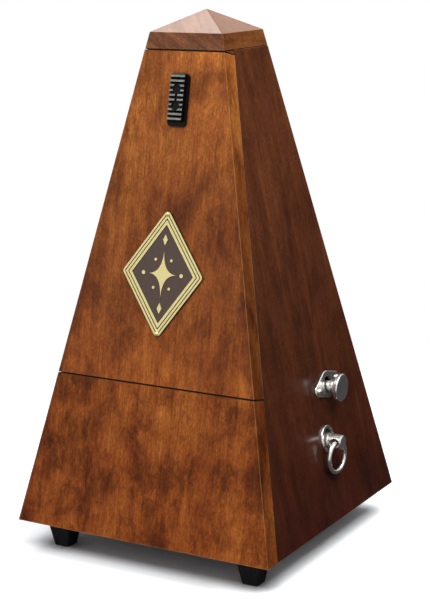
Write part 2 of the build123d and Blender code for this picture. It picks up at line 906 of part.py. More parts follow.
def cleat_centre(slope):
    """Distance from the middle to the middle of a cleat's front face."""
    return half_width_on_front(slope, cleat_front) - side_thickness / cos(lean) - cleat_inset


scale_screw_spots = [
    (side * cleat_centre(slope), slope) for slope in scale_screw_slopes for side in (-1, 1)
]
with BuildPart() as scale_plate:
    with BuildSketch(front_plane(scale_depth)):
        with Locations((0, scale_bottom)):
            Rectangle(base_width, scale_top - scale_bottom, align=(Align.CENTER, Align.MIN))
        with Locations((0, pivot_slope)):
            Circle(scale_arbor_hole, mode=Mode.SUBTRACT)
        with Locations(*scale_screw_spots):
            Circle(screw_shank + sliding_fit, mode=Mode.SUBTRACT)
    extrude(amount=-scale_thickness)
    keep_inside(left_plane(side_thickness + sliding_fit), right_plane(side_thickness + sliding_fit))
finish(scale_plate, "scale_plate")

with BuildPart() as scale_cleats:
    with BuildSketch(front_plane(cleat_front)):
        with Locations((0, scale_bottom)):
            Rectangle(base_width, scale_top - scale_bottom, align=(Align.CENTER, Align.MIN))
    extrude(amount=-cleat_depth)
    keep_inside(left_plane(side_thickness), right_plane(side_thickness))
    with BuildSketch(front_plane(cleat_front)):
        with BuildLine():
            low_half = cleat_centre(scale_bottom) - cleat_inset
            top_half = cleat_centre(scale_top) - cleat_inset
            Polyline(
                (-low_half, scale_bottom),
                (low_half, scale_bottom),
                (top_half, scale_top),
                (-top_half, scale_top),
                close=True,
            )
        make_face()
    extrude(amount=-cleat_depth, mode=Mode.SUBTRACT)
    with Locations(front_plane(cleat_front).location):
        with Locations(*scale_screw_spots):
            Cylinder(
                screw_shank + sliding_fit,
                scale_screw_bite + gap,
                align=(Align.CENTER, Align.CENTER, Align.MAX),
                mode=Mode.SUBTRACT,
            )
finish(scale_cleats, "scale_cleats")

with BuildPart() as scale_screws:
    with Locations(front_plane(scale_depth).location):
        with Locations(*scale_screw_spots):
            add(
                screw(
                    screw_head,
                    screw_head_height,
                    screw_shank,
                    scale_thickness + scale_screw_bite,
                    screw_slot,
                )
            )
finish(scale_screws, "scale_screws")

# ---------------------------------------------------------------- pendulum
rod_face = front_plane(rod_depth - rod_thickness / 2)
with BuildPart() as pendulum_rod:
    with BuildSketch(rod_face):
        with Locations((0, pivot_slope - rod_below)):
            Rectangle(rod_width, rod_above + rod_below, align=(Align.CENTER, Align.MIN))
        with Locations((0, pivot_slope)):
            Circle(rod_boss)
            Circle(pendulum_arbor_radius + close_fit, mode=Mode.SUBTRACT)
    extrude(amount=-rod_thickness)
finish(pendulum_rod, "pendulum_rod")

with BuildPart() as pendulum_bob:
    with BuildSketch(front_plane(rod_depth - bob_thickness / 2)):
        with Locations((0, pivot_slope - bob_below)):
            Circle(bob_radius)
    extrude(amount=-bob_thickness)
    chamfer(pendulum_bob.edges().filter_by(GeomType.CIRCLE), length=bob_bevel)
    with BuildSketch(front_plane(rod_depth - rod_thickness / 2 - close_fit)):
        with Locations((0, pivot_slope - rod_below - close_fit)):
            Rectangle(
                rod_width + 2 * close_fit,
                rod_above,
                align=(Align.CENTER, Align.MIN),
            )
    extrude(amount=-(rod_thickness + 2 * close_fit), mode=Mode.SUBTRACT)
finish(pendulum_bob, "pendulum_bob")

with BuildPart() as tempo_weight:
    with BuildSketch(front_plane(rod_depth - tempo_weight_thickness / 2)) as weight:
        with BuildLine():
            weight_low = pivot_slope + tempo_weight_at - tempo_weight_height / 2
            weight_high = weight_low + tempo_weight_height
            Polyline(
                (-tempo_weight_bottom / 2, weight_low),
                (tempo_weight_bottom / 2, weight_low),
                (tempo_weight_top / 2, weight_high),
                (-tempo_weight_top / 2, weight_high),
                close=True,
            )
        make_face()
        fillet(weight.vertices(), radius=tempo_weight_corner)
    extrude(amount=-tempo_weight_thickness)
    with BuildSketch(front_plane(rod_depth - rod_thickness / 2 - sliding_fit)):
        with Locations((0, pivot_slope + tempo_weight_at)):
            Rectangle(rod_width + 2 * sliding_fit, 2 * tempo_weight_height)
    extrude(amount=-(rod_thickness + 2 * sliding_fit), mode=Mode.SUBTRACT)
finish(tempo_weight, "tempo_weight")

arbor_front = rod_depth - rod_thickness / 2 - gap
cock_depth = escape_depth + pallet_length / 2 + cock_clearance
with BuildPart() as pendulum_arbor:
    with Locations(front_plane(arbor_front).location):
        with Locations((0, pivot_slope)):
            Cylinder(
                pendulum_arbor_radius,
                cock_depth + cock_thickness - arbor_front,
                align=(Align.CENTER, Align.CENTER, Align.MAX),
            )
finish(pendulum_arbor, "pendulum_arbor")

with BuildPart() as pallets:
    with Locations(front_plane(escape_depth - pallet_length / 2).location):
        with Locations((0, pivot_slope)):
            Cylinder(pallet_hub, pallet_length, align=(Align.CENTER, Align.CENTER, Align.MAX))
    for side in (-1, 1):
        blade_middle = side * (escape_thickness / 2 + pallet_clearance + pallet_blade / 2)
        blade_depth = escape_depth - side * pallet_length / 4
        with BuildSketch(front_plane(blade_depth - pallet_length / 4)):
            with Locations((blade_middle, pivot_slope)):
                Rectangle(pallet_blade, pallet_reach, align=(Align.CENTER, Align.MAX))
        extrude(amount=-pallet_length / 2)
    with Locations(front_plane(escape_depth).location):
        with Locations((0, pivot_slope)):
            Cylinder(pendulum_arbor_radius + close_fit, 2 * pallet_length, mode=Mode.SUBTRACT)
finish(pallets, "pallets")

bridge_span = right_plate_x - left_plate_x - plate_thickness
bridge_middle = (right_plate_x + left_plate_x + plate_thickness) / 2
bridge_depth = escape_depth - pallet_length / 2 - bridge_clearance - bridge_thickness
bridge_height = bridge_below_pivot + bridge_above_pivot
with BuildPart() as front_bridge:
    with BuildSketch(front_plane(bridge_depth)):
        with Locations((bridge_middle, pivot_slope - bridge_below_pivot)):
            Rectangle(bridge_span, bridge_height, align=(Align.CENTER, Align.MIN))
        with Locations((0, pivot_slope)):
            Circle(pendulum_arbor_radius + running_fit, mode=Mode.SUBTRACT)
    extrude(amount=-bridge_thickness)
finish(front_bridge, "front_bridge")

cock_root = left_plate_x + plate_thickness
with BuildPart() as rear_cock:
    with BuildSketch(front_plane(cock_depth)):
        with Locations((cock_root, pivot_slope)):
            Rectangle(cock_tip - cock_root, cock_width, align=(Align.MIN, Align.CENTER))
        with Locations((0, pivot_slope)):
            Circle(pendulum_arbor_radius + running_fit, mode=Mode.SUBTRACT)
    extrude(amount=-cock_thickness)
    with BuildSketch(front_plane(cock_depth)):
        with Locations((cock_root, pivot_slope)):
            Rectangle(cock_thickness, cock_width, align=(Align.MIN, Align.CENTER))
    extrude(amount=-(cock_thickness + cock_foot))
finish(rear_cock, "rear_cock")

# ---------------------------------------------------------------- movement frame
def plate_with_foot(x, outward, openings):
    """A side plate of the movement with a bent foot; openings are (place, radius) pairs."""
    with BuildPart(mode=Mode.PRIVATE) as plate:
        with BuildSketch(Plane.YZ.offset(x)) as face:
            Polygon(*[(y, floor_top + height) for y, height in plate_outline], align=None)
            fillet(face.vertices().group_by(Axis.Z)[-1], radius=plate_corner)
            for place, radius in openings:
                with Locations(place):
                    Circle(radius, mode=Mode.SUBTRACT)
        extrude(amount=plate_thickness)
        edge = x if outward < 0 else x + plate_thickness
        for foot_y in frame_foot_at:
            with Locations((edge, foot_y, floor_top)):
                Box(
                    frame_foot,
                    frame_foot_width,
                    plate_thickness,
                    align=(Align.MAX if outward < 0 else Align.MIN, Align.CENTER, Align.MIN),
                )
            with Locations((edge + outward * frame_foot / 2, foot_y, floor_top)):
                Cylinder(screw_shank + sliding_fit, 4 * plate_thickness, mode=Mode.SUBTRACT)
    return plate.part


shared_openings = [
    (second_at, pivot_radius + running_fit),
    (escape_at, pivot_radius + running_fit),
    (selector_at, selector_radius + running_fit),
] + [(place, screw_shank + sliding_fit) for place in pillars_at]
with BuildPart() as left_frame_plate:
    add(plate_with_foot(left_plate_x, -1, shared_openings + [(key_arbor_at, key_pivot_radius + running_fit)]))
finish(left_frame_plate, "left_frame_plate")

with BuildPart() as right_frame_plate:
    add(plate_with_foot(right_plate_x, 1, shared_openings + [(key_arbor_at, key_arbor_radius + running_fit)]))
finish(right_frame_plate, "right_frame_plate")

with BuildPart() as frame_pillars:
    for place in pillars_at:
        with BuildSketch(beside(place, left_plate_x + plate_thickness)):
            Circle(pillar_radius)
        extrude(amount=bridge_span)
        with BuildSketch(beside(place, left_plate_x + plate_thickness)):
            Circle(screw_shank + sliding_fit)
        extrude(amount=bridge_span, mode=Mode.SUBTRACT)
finish(frame_pillars, "frame_pillars")

with BuildPart() as pillar_screws:
    for place in pillars_at:
        for x, turn in ((left_plate_x, -90), (right_plate_x + plate_thickness, 90)):
            with Locations(Location((x, place[0], place[1]), (0, turn, 0))):
                add(screw(screw_head, screw_head_height, screw_shank, pillar_screw_length, screw_slot))
finish(pillar_screws, "pillar_screws")

with BuildPart() as frame_screws:
    with Locations(*[(x, y, floor_top + plate_thickness) for x, y in frame_screws_at]):
        add(
            screw(
                screw_head,
                screw_head_height,
                screw_shank,
                plate_thickness + frame_screw_bite,
                screw_slot,
            )
        )
finish(frame_screws, "frame_screws")

# ---------------------------------------------------------------- wheels
def half_tooth(teeth, module, radius):
    """Half the angle of an involute tooth at a radius; inside the base circle the flank is radial."""
    pitch = teeth * module / 2
    base = pitch * cos(radians(pressure_angle))
    slope = acos(base / max(radius, base))
    pitch_slope = radians(pressure_angle)
    spread = (tan(pitch_slope) - pitch_slope) - (tan(slope) - slope)
    return pi / (2 * teeth) - tooth_slack / (2 * pitch) + spread


def toothed_wheel(teeth, module, first_tooth):
    """Outline of a wheel round the current location, a tooth centred on first_tooth degrees."""
    pitch = teeth * module / 2
    radii = (
        pitch - wheel_dedendum * module,
        pitch - flank_step * module,
        pitch,
        pitch + wheel_addendum * module,
    )
    outline = []
    for tooth in range(teeth):
        middle = radians(first_tooth) + 2 * pi * tooth / teeth
        for radius in radii:
            angle = middle - half_tooth(teeth, module, radius)
            outline.append((radius * cos(angle), radius * sin(angle)))
        for radius in reversed(radii):
            angle = middle + half_tooth(teeth, module, radius)
            outline.append((radius * cos(angle), radius * sin(angle)))
    Polygon(*outline, align=None)


def saw_wheel(teeth, tip, root, lead):
    """Outline of a wheel with slanted saw teeth; lead is the steep side's share of a pitch."""
    outline = []
    for tooth in range(teeth):
        start = 2 * pi * tooth / teeth
        low = start + 2 * pi * lead / teeth
        outline.append((tip * cos(start), tip * sin(start)))
        outline.append((root * cos(low), root * sin(low)))
    Polygon(*outline, align=None)


with BuildPart() as great_wheel:
    with BuildSketch(beside(key_arbor_at, great_x)):
        toothed_wheel(great_teeth, great_module, great_mesh_angle)
        Circle(key_arbor_radius + close_fit, mode=Mode.SUBTRACT)
        with PolarLocations(great_window_at, great_windows, start_angle=great_window_start):
            Circle(great_window, mode=Mode.SUBTRACT)
        with PolarLocations(click_distance, 1, start_angle=click_angle):
            Circle(screw_shank + close_fit, mode=Mode.SUBTRACT)
    extrude(amount=great_width)
finish(great_wheel, "great_wheel")

right_bearing = right_plate_x + plate_thickness
with BuildPart() as winding_arbor:
    with BuildSketch(beside(key_arbor_at, left_plate_x)):
        Circle(key_pivot_radius)
    extrude(amount=plate_thickness + sliding_fit)
    with BuildSketch(beside(key_arbor_at, spring_x)):
        Circle(spring_start_radius - spring_strip / 2 - gap)
    extrude(amount=spring_width)
    with BuildSketch(beside(key_arbor_at, left_plate_x + plate_thickness + sliding_fit)):
        Circle(key_arbor_radius)
    extrude(amount=right_bearing + gap - left_plate_x - plate_thickness - sliding_fit)
    with BuildSketch(beside(key_arbor_at, right_bearing + gap)):
        Circle(key_pivot_radius)
    extrude(amount=stem_start + stem_socket - right_bearing - gap)
finish(winding_arbor, "winding_arbor")

with BuildPart() as ratchet_wheel:
    with BuildSketch(beside(key_arbor_at, great_x + great_width)):
        saw_wheel(ratchet_teeth, ratchet_radius, ratchet_root, ratchet_lead)
        Circle(key_arbor_radius + close_fit, mode=Mode.SUBTRACT)
    extrude(amount=ratchet_width)
finish(ratchet_wheel, "ratchet_wheel")

click_pivot = (
    key_y + click_distance * cos(radians(click_angle)),
    key_z + click_distance * sin(radians(click_angle)),
)
with BuildPart() as click:
    with BuildSketch(beside(click_pivot, great_x + great_width)):
        with BuildLine():
            Polyline(*click_outline, close=True)
        make_face()
        Circle(click_boss)
        Circle(screw_shank + running_fit, mode=Mode.SUBTRACT)
    extrude(amount=ratchet_width)
finish(click, "click")

click_screw_x = great_x + great_width + ratchet_width + sliding_fit
with BuildPart() as click_screw:
    with Locations(Location((click_screw_x, *click_pivot), (0, 90, 0))):
        add(
            screw(
                screw_head,
                screw_head_height,
                screw_shank,
                ratchet_width + great_width + sliding_fit,
                screw_slot,
            )
        )
finish(click_screw, "click_screw")

with BuildPart() as click_spring:
    with BuildSketch(beside(key_arbor_at, great_x + great_width)):
        with Locations(click_anchor):
            Circle(click_post)
        with BuildLine():
            ThreePointArc(click_anchor, click_bow, click_touch)
        trace(line_width=spring_strip)
    extrude(amount=ratchet_width)
finish(click_spring, "click_spring")

with BuildPart() as mainspring:
    with BuildSketch(beside(key_arbor_at, spring_x)):
        with BuildLine():
            spring_end = pillars_at[1][0] - pillar_radius - (gap + spring_strip) / 2 - key_y
            step = (spring_end - spring_start_radius) / spring_half_turns
            for half_turn in range(spring_half_turns):
                upper = half_turn % 2
                CenterArc((step * upper, 0), spring_start_radius + step * half_turn, 180 * upper, -180)
            Line((spring_end, 0), (spring_end, pillars_at[1][1] - key_z))
        trace(line_width=spring_strip)
    extrude(amount=spring_width)
finish(mainspring, "mainspring")

inner_left = left_plate_x + plate_thickness + sliding_fit
inner_right = right_plate_x - sliding_fit


def pivoted_arbor(place, leaves, module, first_leaf, pinion_from, pinion_to):
    """An arbor between the frame plates, its pinion cut in one with it."""
    with BuildPart(mode=Mode.PRIVATE) as arbor:
        with BuildSketch(beside(place, left_plate_x)):
            Circle(pivot_radius)
        extrude(amount=right_bearing - left_plate_x)
        with BuildSketch(beside(place, inner_left)):
            Circle(arbor_radius)
        extrude(amount=inner_right - inner_left)
        with BuildSketch(beside(place, pinion_from)):
            toothed_wheel(leaves, module, first_leaf)
        extrude(amount=pinion_to - pinion_from)
    return arbor.part


with BuildPart() as second_arbor:
    half_leaf = 180 / second_pinion_leaves
    add(
        pivoted_arbor(
            second_at,
            second_pinion_leaves,
            great_module,
            great_mesh_angle + 180 + half_leaf,
            great_x - pinion_overhang,
            great_x + great_width + pinion_overhang,
        )
    )
finish(second_arbor, "second_arbor")

with BuildPart() as second_wheel:
    with BuildSketch(beside(second_at, second_x)):
        toothed_wheel(second_teeth, second_module, second_mesh_angle)
        Circle(arbor_radius + close_fit, mode=Mode.SUBTRACT)
        with PolarLocations(second_window_at, second_windows):
            Circle(second_window, mode=Mode.SUBTRACT)
    extrude(amount=second_width)
finish(second_wheel, "second_wheel")

with BuildPart() as escape_arbor:
    half_leaf = 180 / escape_pinion_leaves
    add(
        pivoted_arbor(
            escape_at,
            escape_pinion_leaves,
            second_module,
            second_mesh_angle + 180 + half_leaf,
            second_x - pinion_overhang,
            second_x + second_width + pinion_overhang,
        )
    )
finish(escape_arbor, "escape_arbor")

with BuildPart() as escape_wheel:
    with BuildSketch(beside(escape_at, -escape_thickness / 2)):
        saw_wheel(escape_teeth, escape_radius, escape_root, escape_lead)
        Circle(arbor_radius + close_fit, mode=Mode.SUBTRACT)
        with PolarLocations(escape_window_at, escape_windows):
            Circle(escape_window, mode=Mode.SUBTRACT)
    extrude(amount=escape_thickness)
finish(escape_wheel, "escape_wheel")

cam_first_x = hammer_x + cam_pitch
cams_end = cam_first_x + (len(cam_lobes) - 1) * cam_pitch + cam_width
with BuildPart() as bell_cams:
    with BuildSketch(beside(escape_at, cam_first_x - sliding_fit)):
        Circle(cam_hub)
    extrude(amount=cams_end - cam_first_x + 2 * sliding_fit)
    for index, lobes in enumerate(cam_lobes):
        with BuildSketch(beside(escape_at, cam_first_x + index * cam_pitch)):
            Circle(cam_radius)
            with PolarLocations(cam_radius, lobes):
                Polygon(
                    (-cam_lobe / 2, -cam_lobe / 2),
                    (-cam_lobe / 2, cam_lobe),
                    (cam_tip - cam_radius, -cam_lobe / 4),
                    (cam_tip - cam_radius, -cam_lobe / 2),
                    align=None,
                )
        extrude(amount=cam_width)
    with BuildSketch(beside(escape_at, cam_first_x - sliding_fit)):
        Circle(arbor_radius + close_fit)
    extrude(amount=cams_end - cam_first_x + 2 * sliding_fit, mode=Mode.SUBTRACT)
finish(bell_cams, "bell_cams")

# ---------------------------------------------------------------- bell and hammer
seat_y, seat_z = back_point(bell_slope, back_thickness)
bell_seat = Vector(bell_x, seat_y, seat_z)
bell_out = back_plane().z_dir
bell_profile = Plane(origin=bell_seat, x_dir=(1, 0, 0), z_dir=back_plane().y_dir)
rim_at = bell_rim_depth - back_thickness
crown_at = rim_at + bell_height
with BuildPart() as bell:
    with BuildSketch(bell_profile):
        with BuildLine():
            TangentArc((bell_crown, -crown_at), (bell_radius, -rim_at), tangent=(1, 0))
            Line((bell_radius, -rim_at), (bell_radius - bell_wall, -rim_at))
            TangentArc(
                (bell_crown, bell_wall - crown_at),
                (bell_radius - bell_wall, -rim_at),
                tangent=(1, 0),
            )
            Polyline(
                (bell_crown, bell_wall - crown_at),
                (bell_hole, bell_wall - crown_at),
                (bell_hole, -crown_at),
                (bell_crown, -crown_at),
            )
        make_face()
    revolve(axis=Axis(bell_seat, bell_out))
finish(bell, "bell")

post_place = Location(Plane(origin=bell_seat, x_dir=(1, 0, 0), z_dir=bell_out * -1))
with BuildPart() as bell_post:
    with Locations(post_place):
        Cylinder(
            bell_post_radius,
            crown_at - bell_wall,
            align=(Align.CENTER, Align.CENTER, Align.MIN),
        )
        Hole(screw_shank + close_fit, depth=crown_at)
finish(bell_post, "bell_post")

with BuildPart() as bell_screw:
    with Locations(Location(Plane(
        origin=bell_seat - bell_out * crown_at,
        x_dir=(1, 0, 0),
        z_dir=bell_out * -1,
    ))):
        add(screw(screw_head, screw_head_height, screw_shank, crown_at, screw_slot))
finish(bell_screw, "bell_screw")

sleeve_start = hammer_x - sleeve_left
sleeve_end = hammer_x + sleeve_right
head_y = seat_y - hammer_head_before_seat
head_z = seat_z - hammer_head_below_seat
with BuildPart() as hammer_lever:
    with BuildSketch(beside(selector_at, sleeve_start)):
        Circle(sleeve_radius)
    extrude(amount=sleeve_end - sleeve_start)
    with BuildSketch(Plane.YZ.offset(hammer_x)):
        with BuildLine():
            toe_y = escape_at[0] - hammer_toe_lead
            toe_z = escape_at[1] + cam_tip + gap
            Polyline(
                (toe_y, toe_z),
                (toe_y + hammer_toe, toe_z),
                (toe_y + hammer_toe, toe_z + hammer_toe),
                (selector_y, selector_z - hammer_web),
                (head_y + hammer_toe, head_z - hammer_web),
                (head_y + hammer_toe, head_z),
                (head_y - hammer_head_radius - gap, head_z),
                (selector_y, selector_z + hammer_web),
                (toe_y, toe_z + hammer_toe_neck),
                close=True,
            )
        make_face()
    extrude(amount=hammer_strip)
    with BuildSketch(beside(selector_at, sleeve_start)):
        Circle(selector_radius + running_fit)
    extrude(amount=sleeve_end - sleeve_start, mode=Mode.SUBTRACT)
finish(hammer_lever, "hammer_lever")

with BuildPart() as hammer_spring:
    with BuildSketch(Plane.YZ.offset(hammer_x + hammer_strip + gap)):
        with BuildLine():
            foot_z = selector_z + sleeve_radius + close_fit + spring_strip / 2
            ThreePointArc(
                (selector_y + sleeve_radius / 2, foot_z),
                (selector_y - hammer_spring_reach / 2, foot_z - hammer_spring_drop / 4),
                (selector_y - hammer_spring_reach, foot_z - hammer_spring_drop),
            )
        trace(line_width=spring_strip)
    extrude(amount=hammer_strip)
finish(hammer_spring, "hammer_spring")

with BuildPart() as hammer_head:
    with BuildSketch(Plane.XY.offset(head_z)):
        with Locations((hammer_x + hammer_strip / 2, head_y)):
            Circle(hammer_head_radius)
    extrude(amount=hammer_head_height)
    fillet(hammer_head.edges().filter_by(GeomType.CIRCLE).sort_by(Axis.Z)[-1:], radius=hammer_head_rounding)
finish(hammer_head, "hammer_head")

selector_travel = cam_pitch * len(cam_lobes)
rod_left = left_plate_x - selector_travel - selector_overhang
with BuildPart() as selector_rod:
    with BuildSketch(beside(selector_at, rod_left)):
        Circle(selector_radius)
    extrude(amount=knob_back - rod_left)
    for collar_x in (sleeve_start - sliding_fit - collar_width, sleeve_end + sliding_fit):
        with BuildSketch(beside(selector_at, collar_x)):
            Circle(collar_radius)
        extrude(amount=collar_width)
finish(selector_rod, "selector_rod")

with BuildPart() as selector_knob:
    with BuildSketch(Plane(origin=(0, selector_y, selector_z), x_dir=(1, 0, 0), z_dir=(0, -1, 0))):
        with BuildLine():
            Polyline(
                (knob_start, selector_radius + close_fit),
                (knob_start, knob_neck),
                (knob_collar_x, knob_neck),
                (knob_collar_x, knob_collar),
                (knob_collar_x + knob_collar_width, knob_collar),
                (knob_collar_x + knob_collar_width, knob_neck),
                (knob_back - knob_dish, knob_neck),
                (knob_back, knob_radius - knob_rim),
                (knob_back + knob_rim, knob_radius),
                (knob_face_x - knob_edge, knob_radius),
            )
            RadiusArc(
                (knob_face_x - knob_edge, knob_radius),
                (knob_face_x, knob_radius - knob_edge),
                knob_edge,
            )
            Polyline(
                (knob_face_x, knob_radius - knob_edge),
                (knob_face_x, 0),
                (knob_back, 0),
                (knob_back, selector_radius + close_fit),
                (knob_start, selector_radius + close_fit),
            )
        make_face()
    revolve(axis=Axis((0, selector_y, selector_z), (1, 0, 0)))
finish(selector_knob, "selector_knob")

# ---------------------------------------------------------------- winding key
with BuildPart() as key_stem:
    with BuildSketch(beside(key_arbor_at, stem_start)):
        Circle(stem_radius)
    extrude(amount=stem_end - stem_start)
    chamfer(key_stem.edges().filter_by(GeomType.CIRCLE).sort_by(Axis.X)[-1:], length=stem_bevel)
    with BuildSketch(beside(key_arbor_at, stem_start)):
        Circle(key_pivot_radius + close_fit)
    extrude(amount=stem_socket + sliding_fit, mode=Mode.SUBTRACT)
    with Locations(Location((ring_hole_x, key_y, key_z), (90, 0, 0))):
        Cylinder(ring_hole, 4 * stem_radius, mode=Mode.SUBTRACT)
        for side in (-1, 1):
            with Locations(Location((0, 0, side * stem_radius), (90 + 90 * side, 0, 0))):
                Cone(
                    ring_hole + ring_hole_flare,
                    ring_hole,
                    stem_radius / 2,
                    align=(Align.CENTER, Align.CENTER, Align.MIN),
                    mode=Mode.SUBTRACT,
                )
finish(key_stem, "key_stem")

with BuildPart() as key_ring:
    ring_axis = (cos(radians(ring_turn)), -sin(radians(ring_turn)), 0)
    with Locations(Location(Plane(origin=(ring_hole_x, key_y, key_z - ring_radius), z_dir=ring_axis))):
        Torus(ring_radius, ring_wire)
finish(key_ring, "key_ring")
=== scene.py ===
import json
import math

import bmesh
import bpy
from mathutils import Matrix, Vector


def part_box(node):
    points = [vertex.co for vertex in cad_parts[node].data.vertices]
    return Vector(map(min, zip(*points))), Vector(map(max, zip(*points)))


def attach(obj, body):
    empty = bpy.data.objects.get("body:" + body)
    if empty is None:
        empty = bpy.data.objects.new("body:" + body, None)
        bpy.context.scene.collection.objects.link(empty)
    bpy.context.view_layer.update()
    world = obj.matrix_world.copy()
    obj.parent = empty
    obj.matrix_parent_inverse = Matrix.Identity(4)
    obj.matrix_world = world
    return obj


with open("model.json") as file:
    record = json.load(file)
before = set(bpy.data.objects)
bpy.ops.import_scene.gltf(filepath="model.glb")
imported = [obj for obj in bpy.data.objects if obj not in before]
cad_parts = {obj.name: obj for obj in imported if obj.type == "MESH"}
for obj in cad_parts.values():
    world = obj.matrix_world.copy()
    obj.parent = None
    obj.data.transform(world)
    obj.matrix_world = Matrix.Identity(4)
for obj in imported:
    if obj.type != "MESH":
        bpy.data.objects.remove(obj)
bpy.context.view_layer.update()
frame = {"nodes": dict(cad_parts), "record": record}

NODES = frame["nodes"]
RECORD = frame["record"]

MM = 0.001  # the part's and camera's lengths are in millimetres, the floor's and lamps' in metres
TAPER = math.radians(11.86)  # lean of every wall
SLOPE = math.tan(TAPER)
FRONT = Matrix.Rotation(TAPER, 3, "X")  # turns the leaning front upright
BASE_LOW, BASE_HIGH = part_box("lower_front_panel")
HALF_BASE = BASE_HIGH[0] * 1000  # half the case's width at its foot
CASE_FOOT = BASE_LOW[2] * 1000  # height of that foot above the floor

# Turns that bring a piece's grain onto the Z axis.
NO_TURN = (0, 0, 0)
FRONT_TURN = (TAPER, 0, 0)
BACK_TURN = (-TAPER, 0, 0)
RIGHT_TURN = (0, TAPER, 0)
LEFT_TURN = (0, -TAPER, 0)
CAP_TURN = (0, math.radians(58), 0)
LYING = (0, math.radians(90), 0)


def upright(name, axis, end):
    """Where a node ends on an axis (0 to 2) once its leaning front is turned upright, in millimetres."""
    return end((FRONT @ vertex.co)[axis] for vertex in NODES[name].data.vertices) * 1000


SEAM_DEPTH = upright("right_side_panel", 1, min)  # where the side walls' front edges stand
BADGE_FACE = upright("badge_plate", 1, min)
BADGE_MIDDLE = (upright("badge_plate", 2, min) + upright("badge_plate", 2, max)) / 2
BADGE_HALF = (18.5, 25.8)  # half width and half height of the lozenge before its corners are rounded
BADGE_FIELD = 14.1 / BADGE_HALF[0]  # share of the lozenge that the filled field takes up


def srgb(red, green, blue):
    """Linear colour from the 0-255 values that a screen shows."""
    channels = []
    for value in (red, green, blue):
        share = value / 255
        channels.append(share / 12.92 if share <= 0.04045 else ((share + 0.055) / 1.055) ** 2.4)
    return (*channels, 1.0)


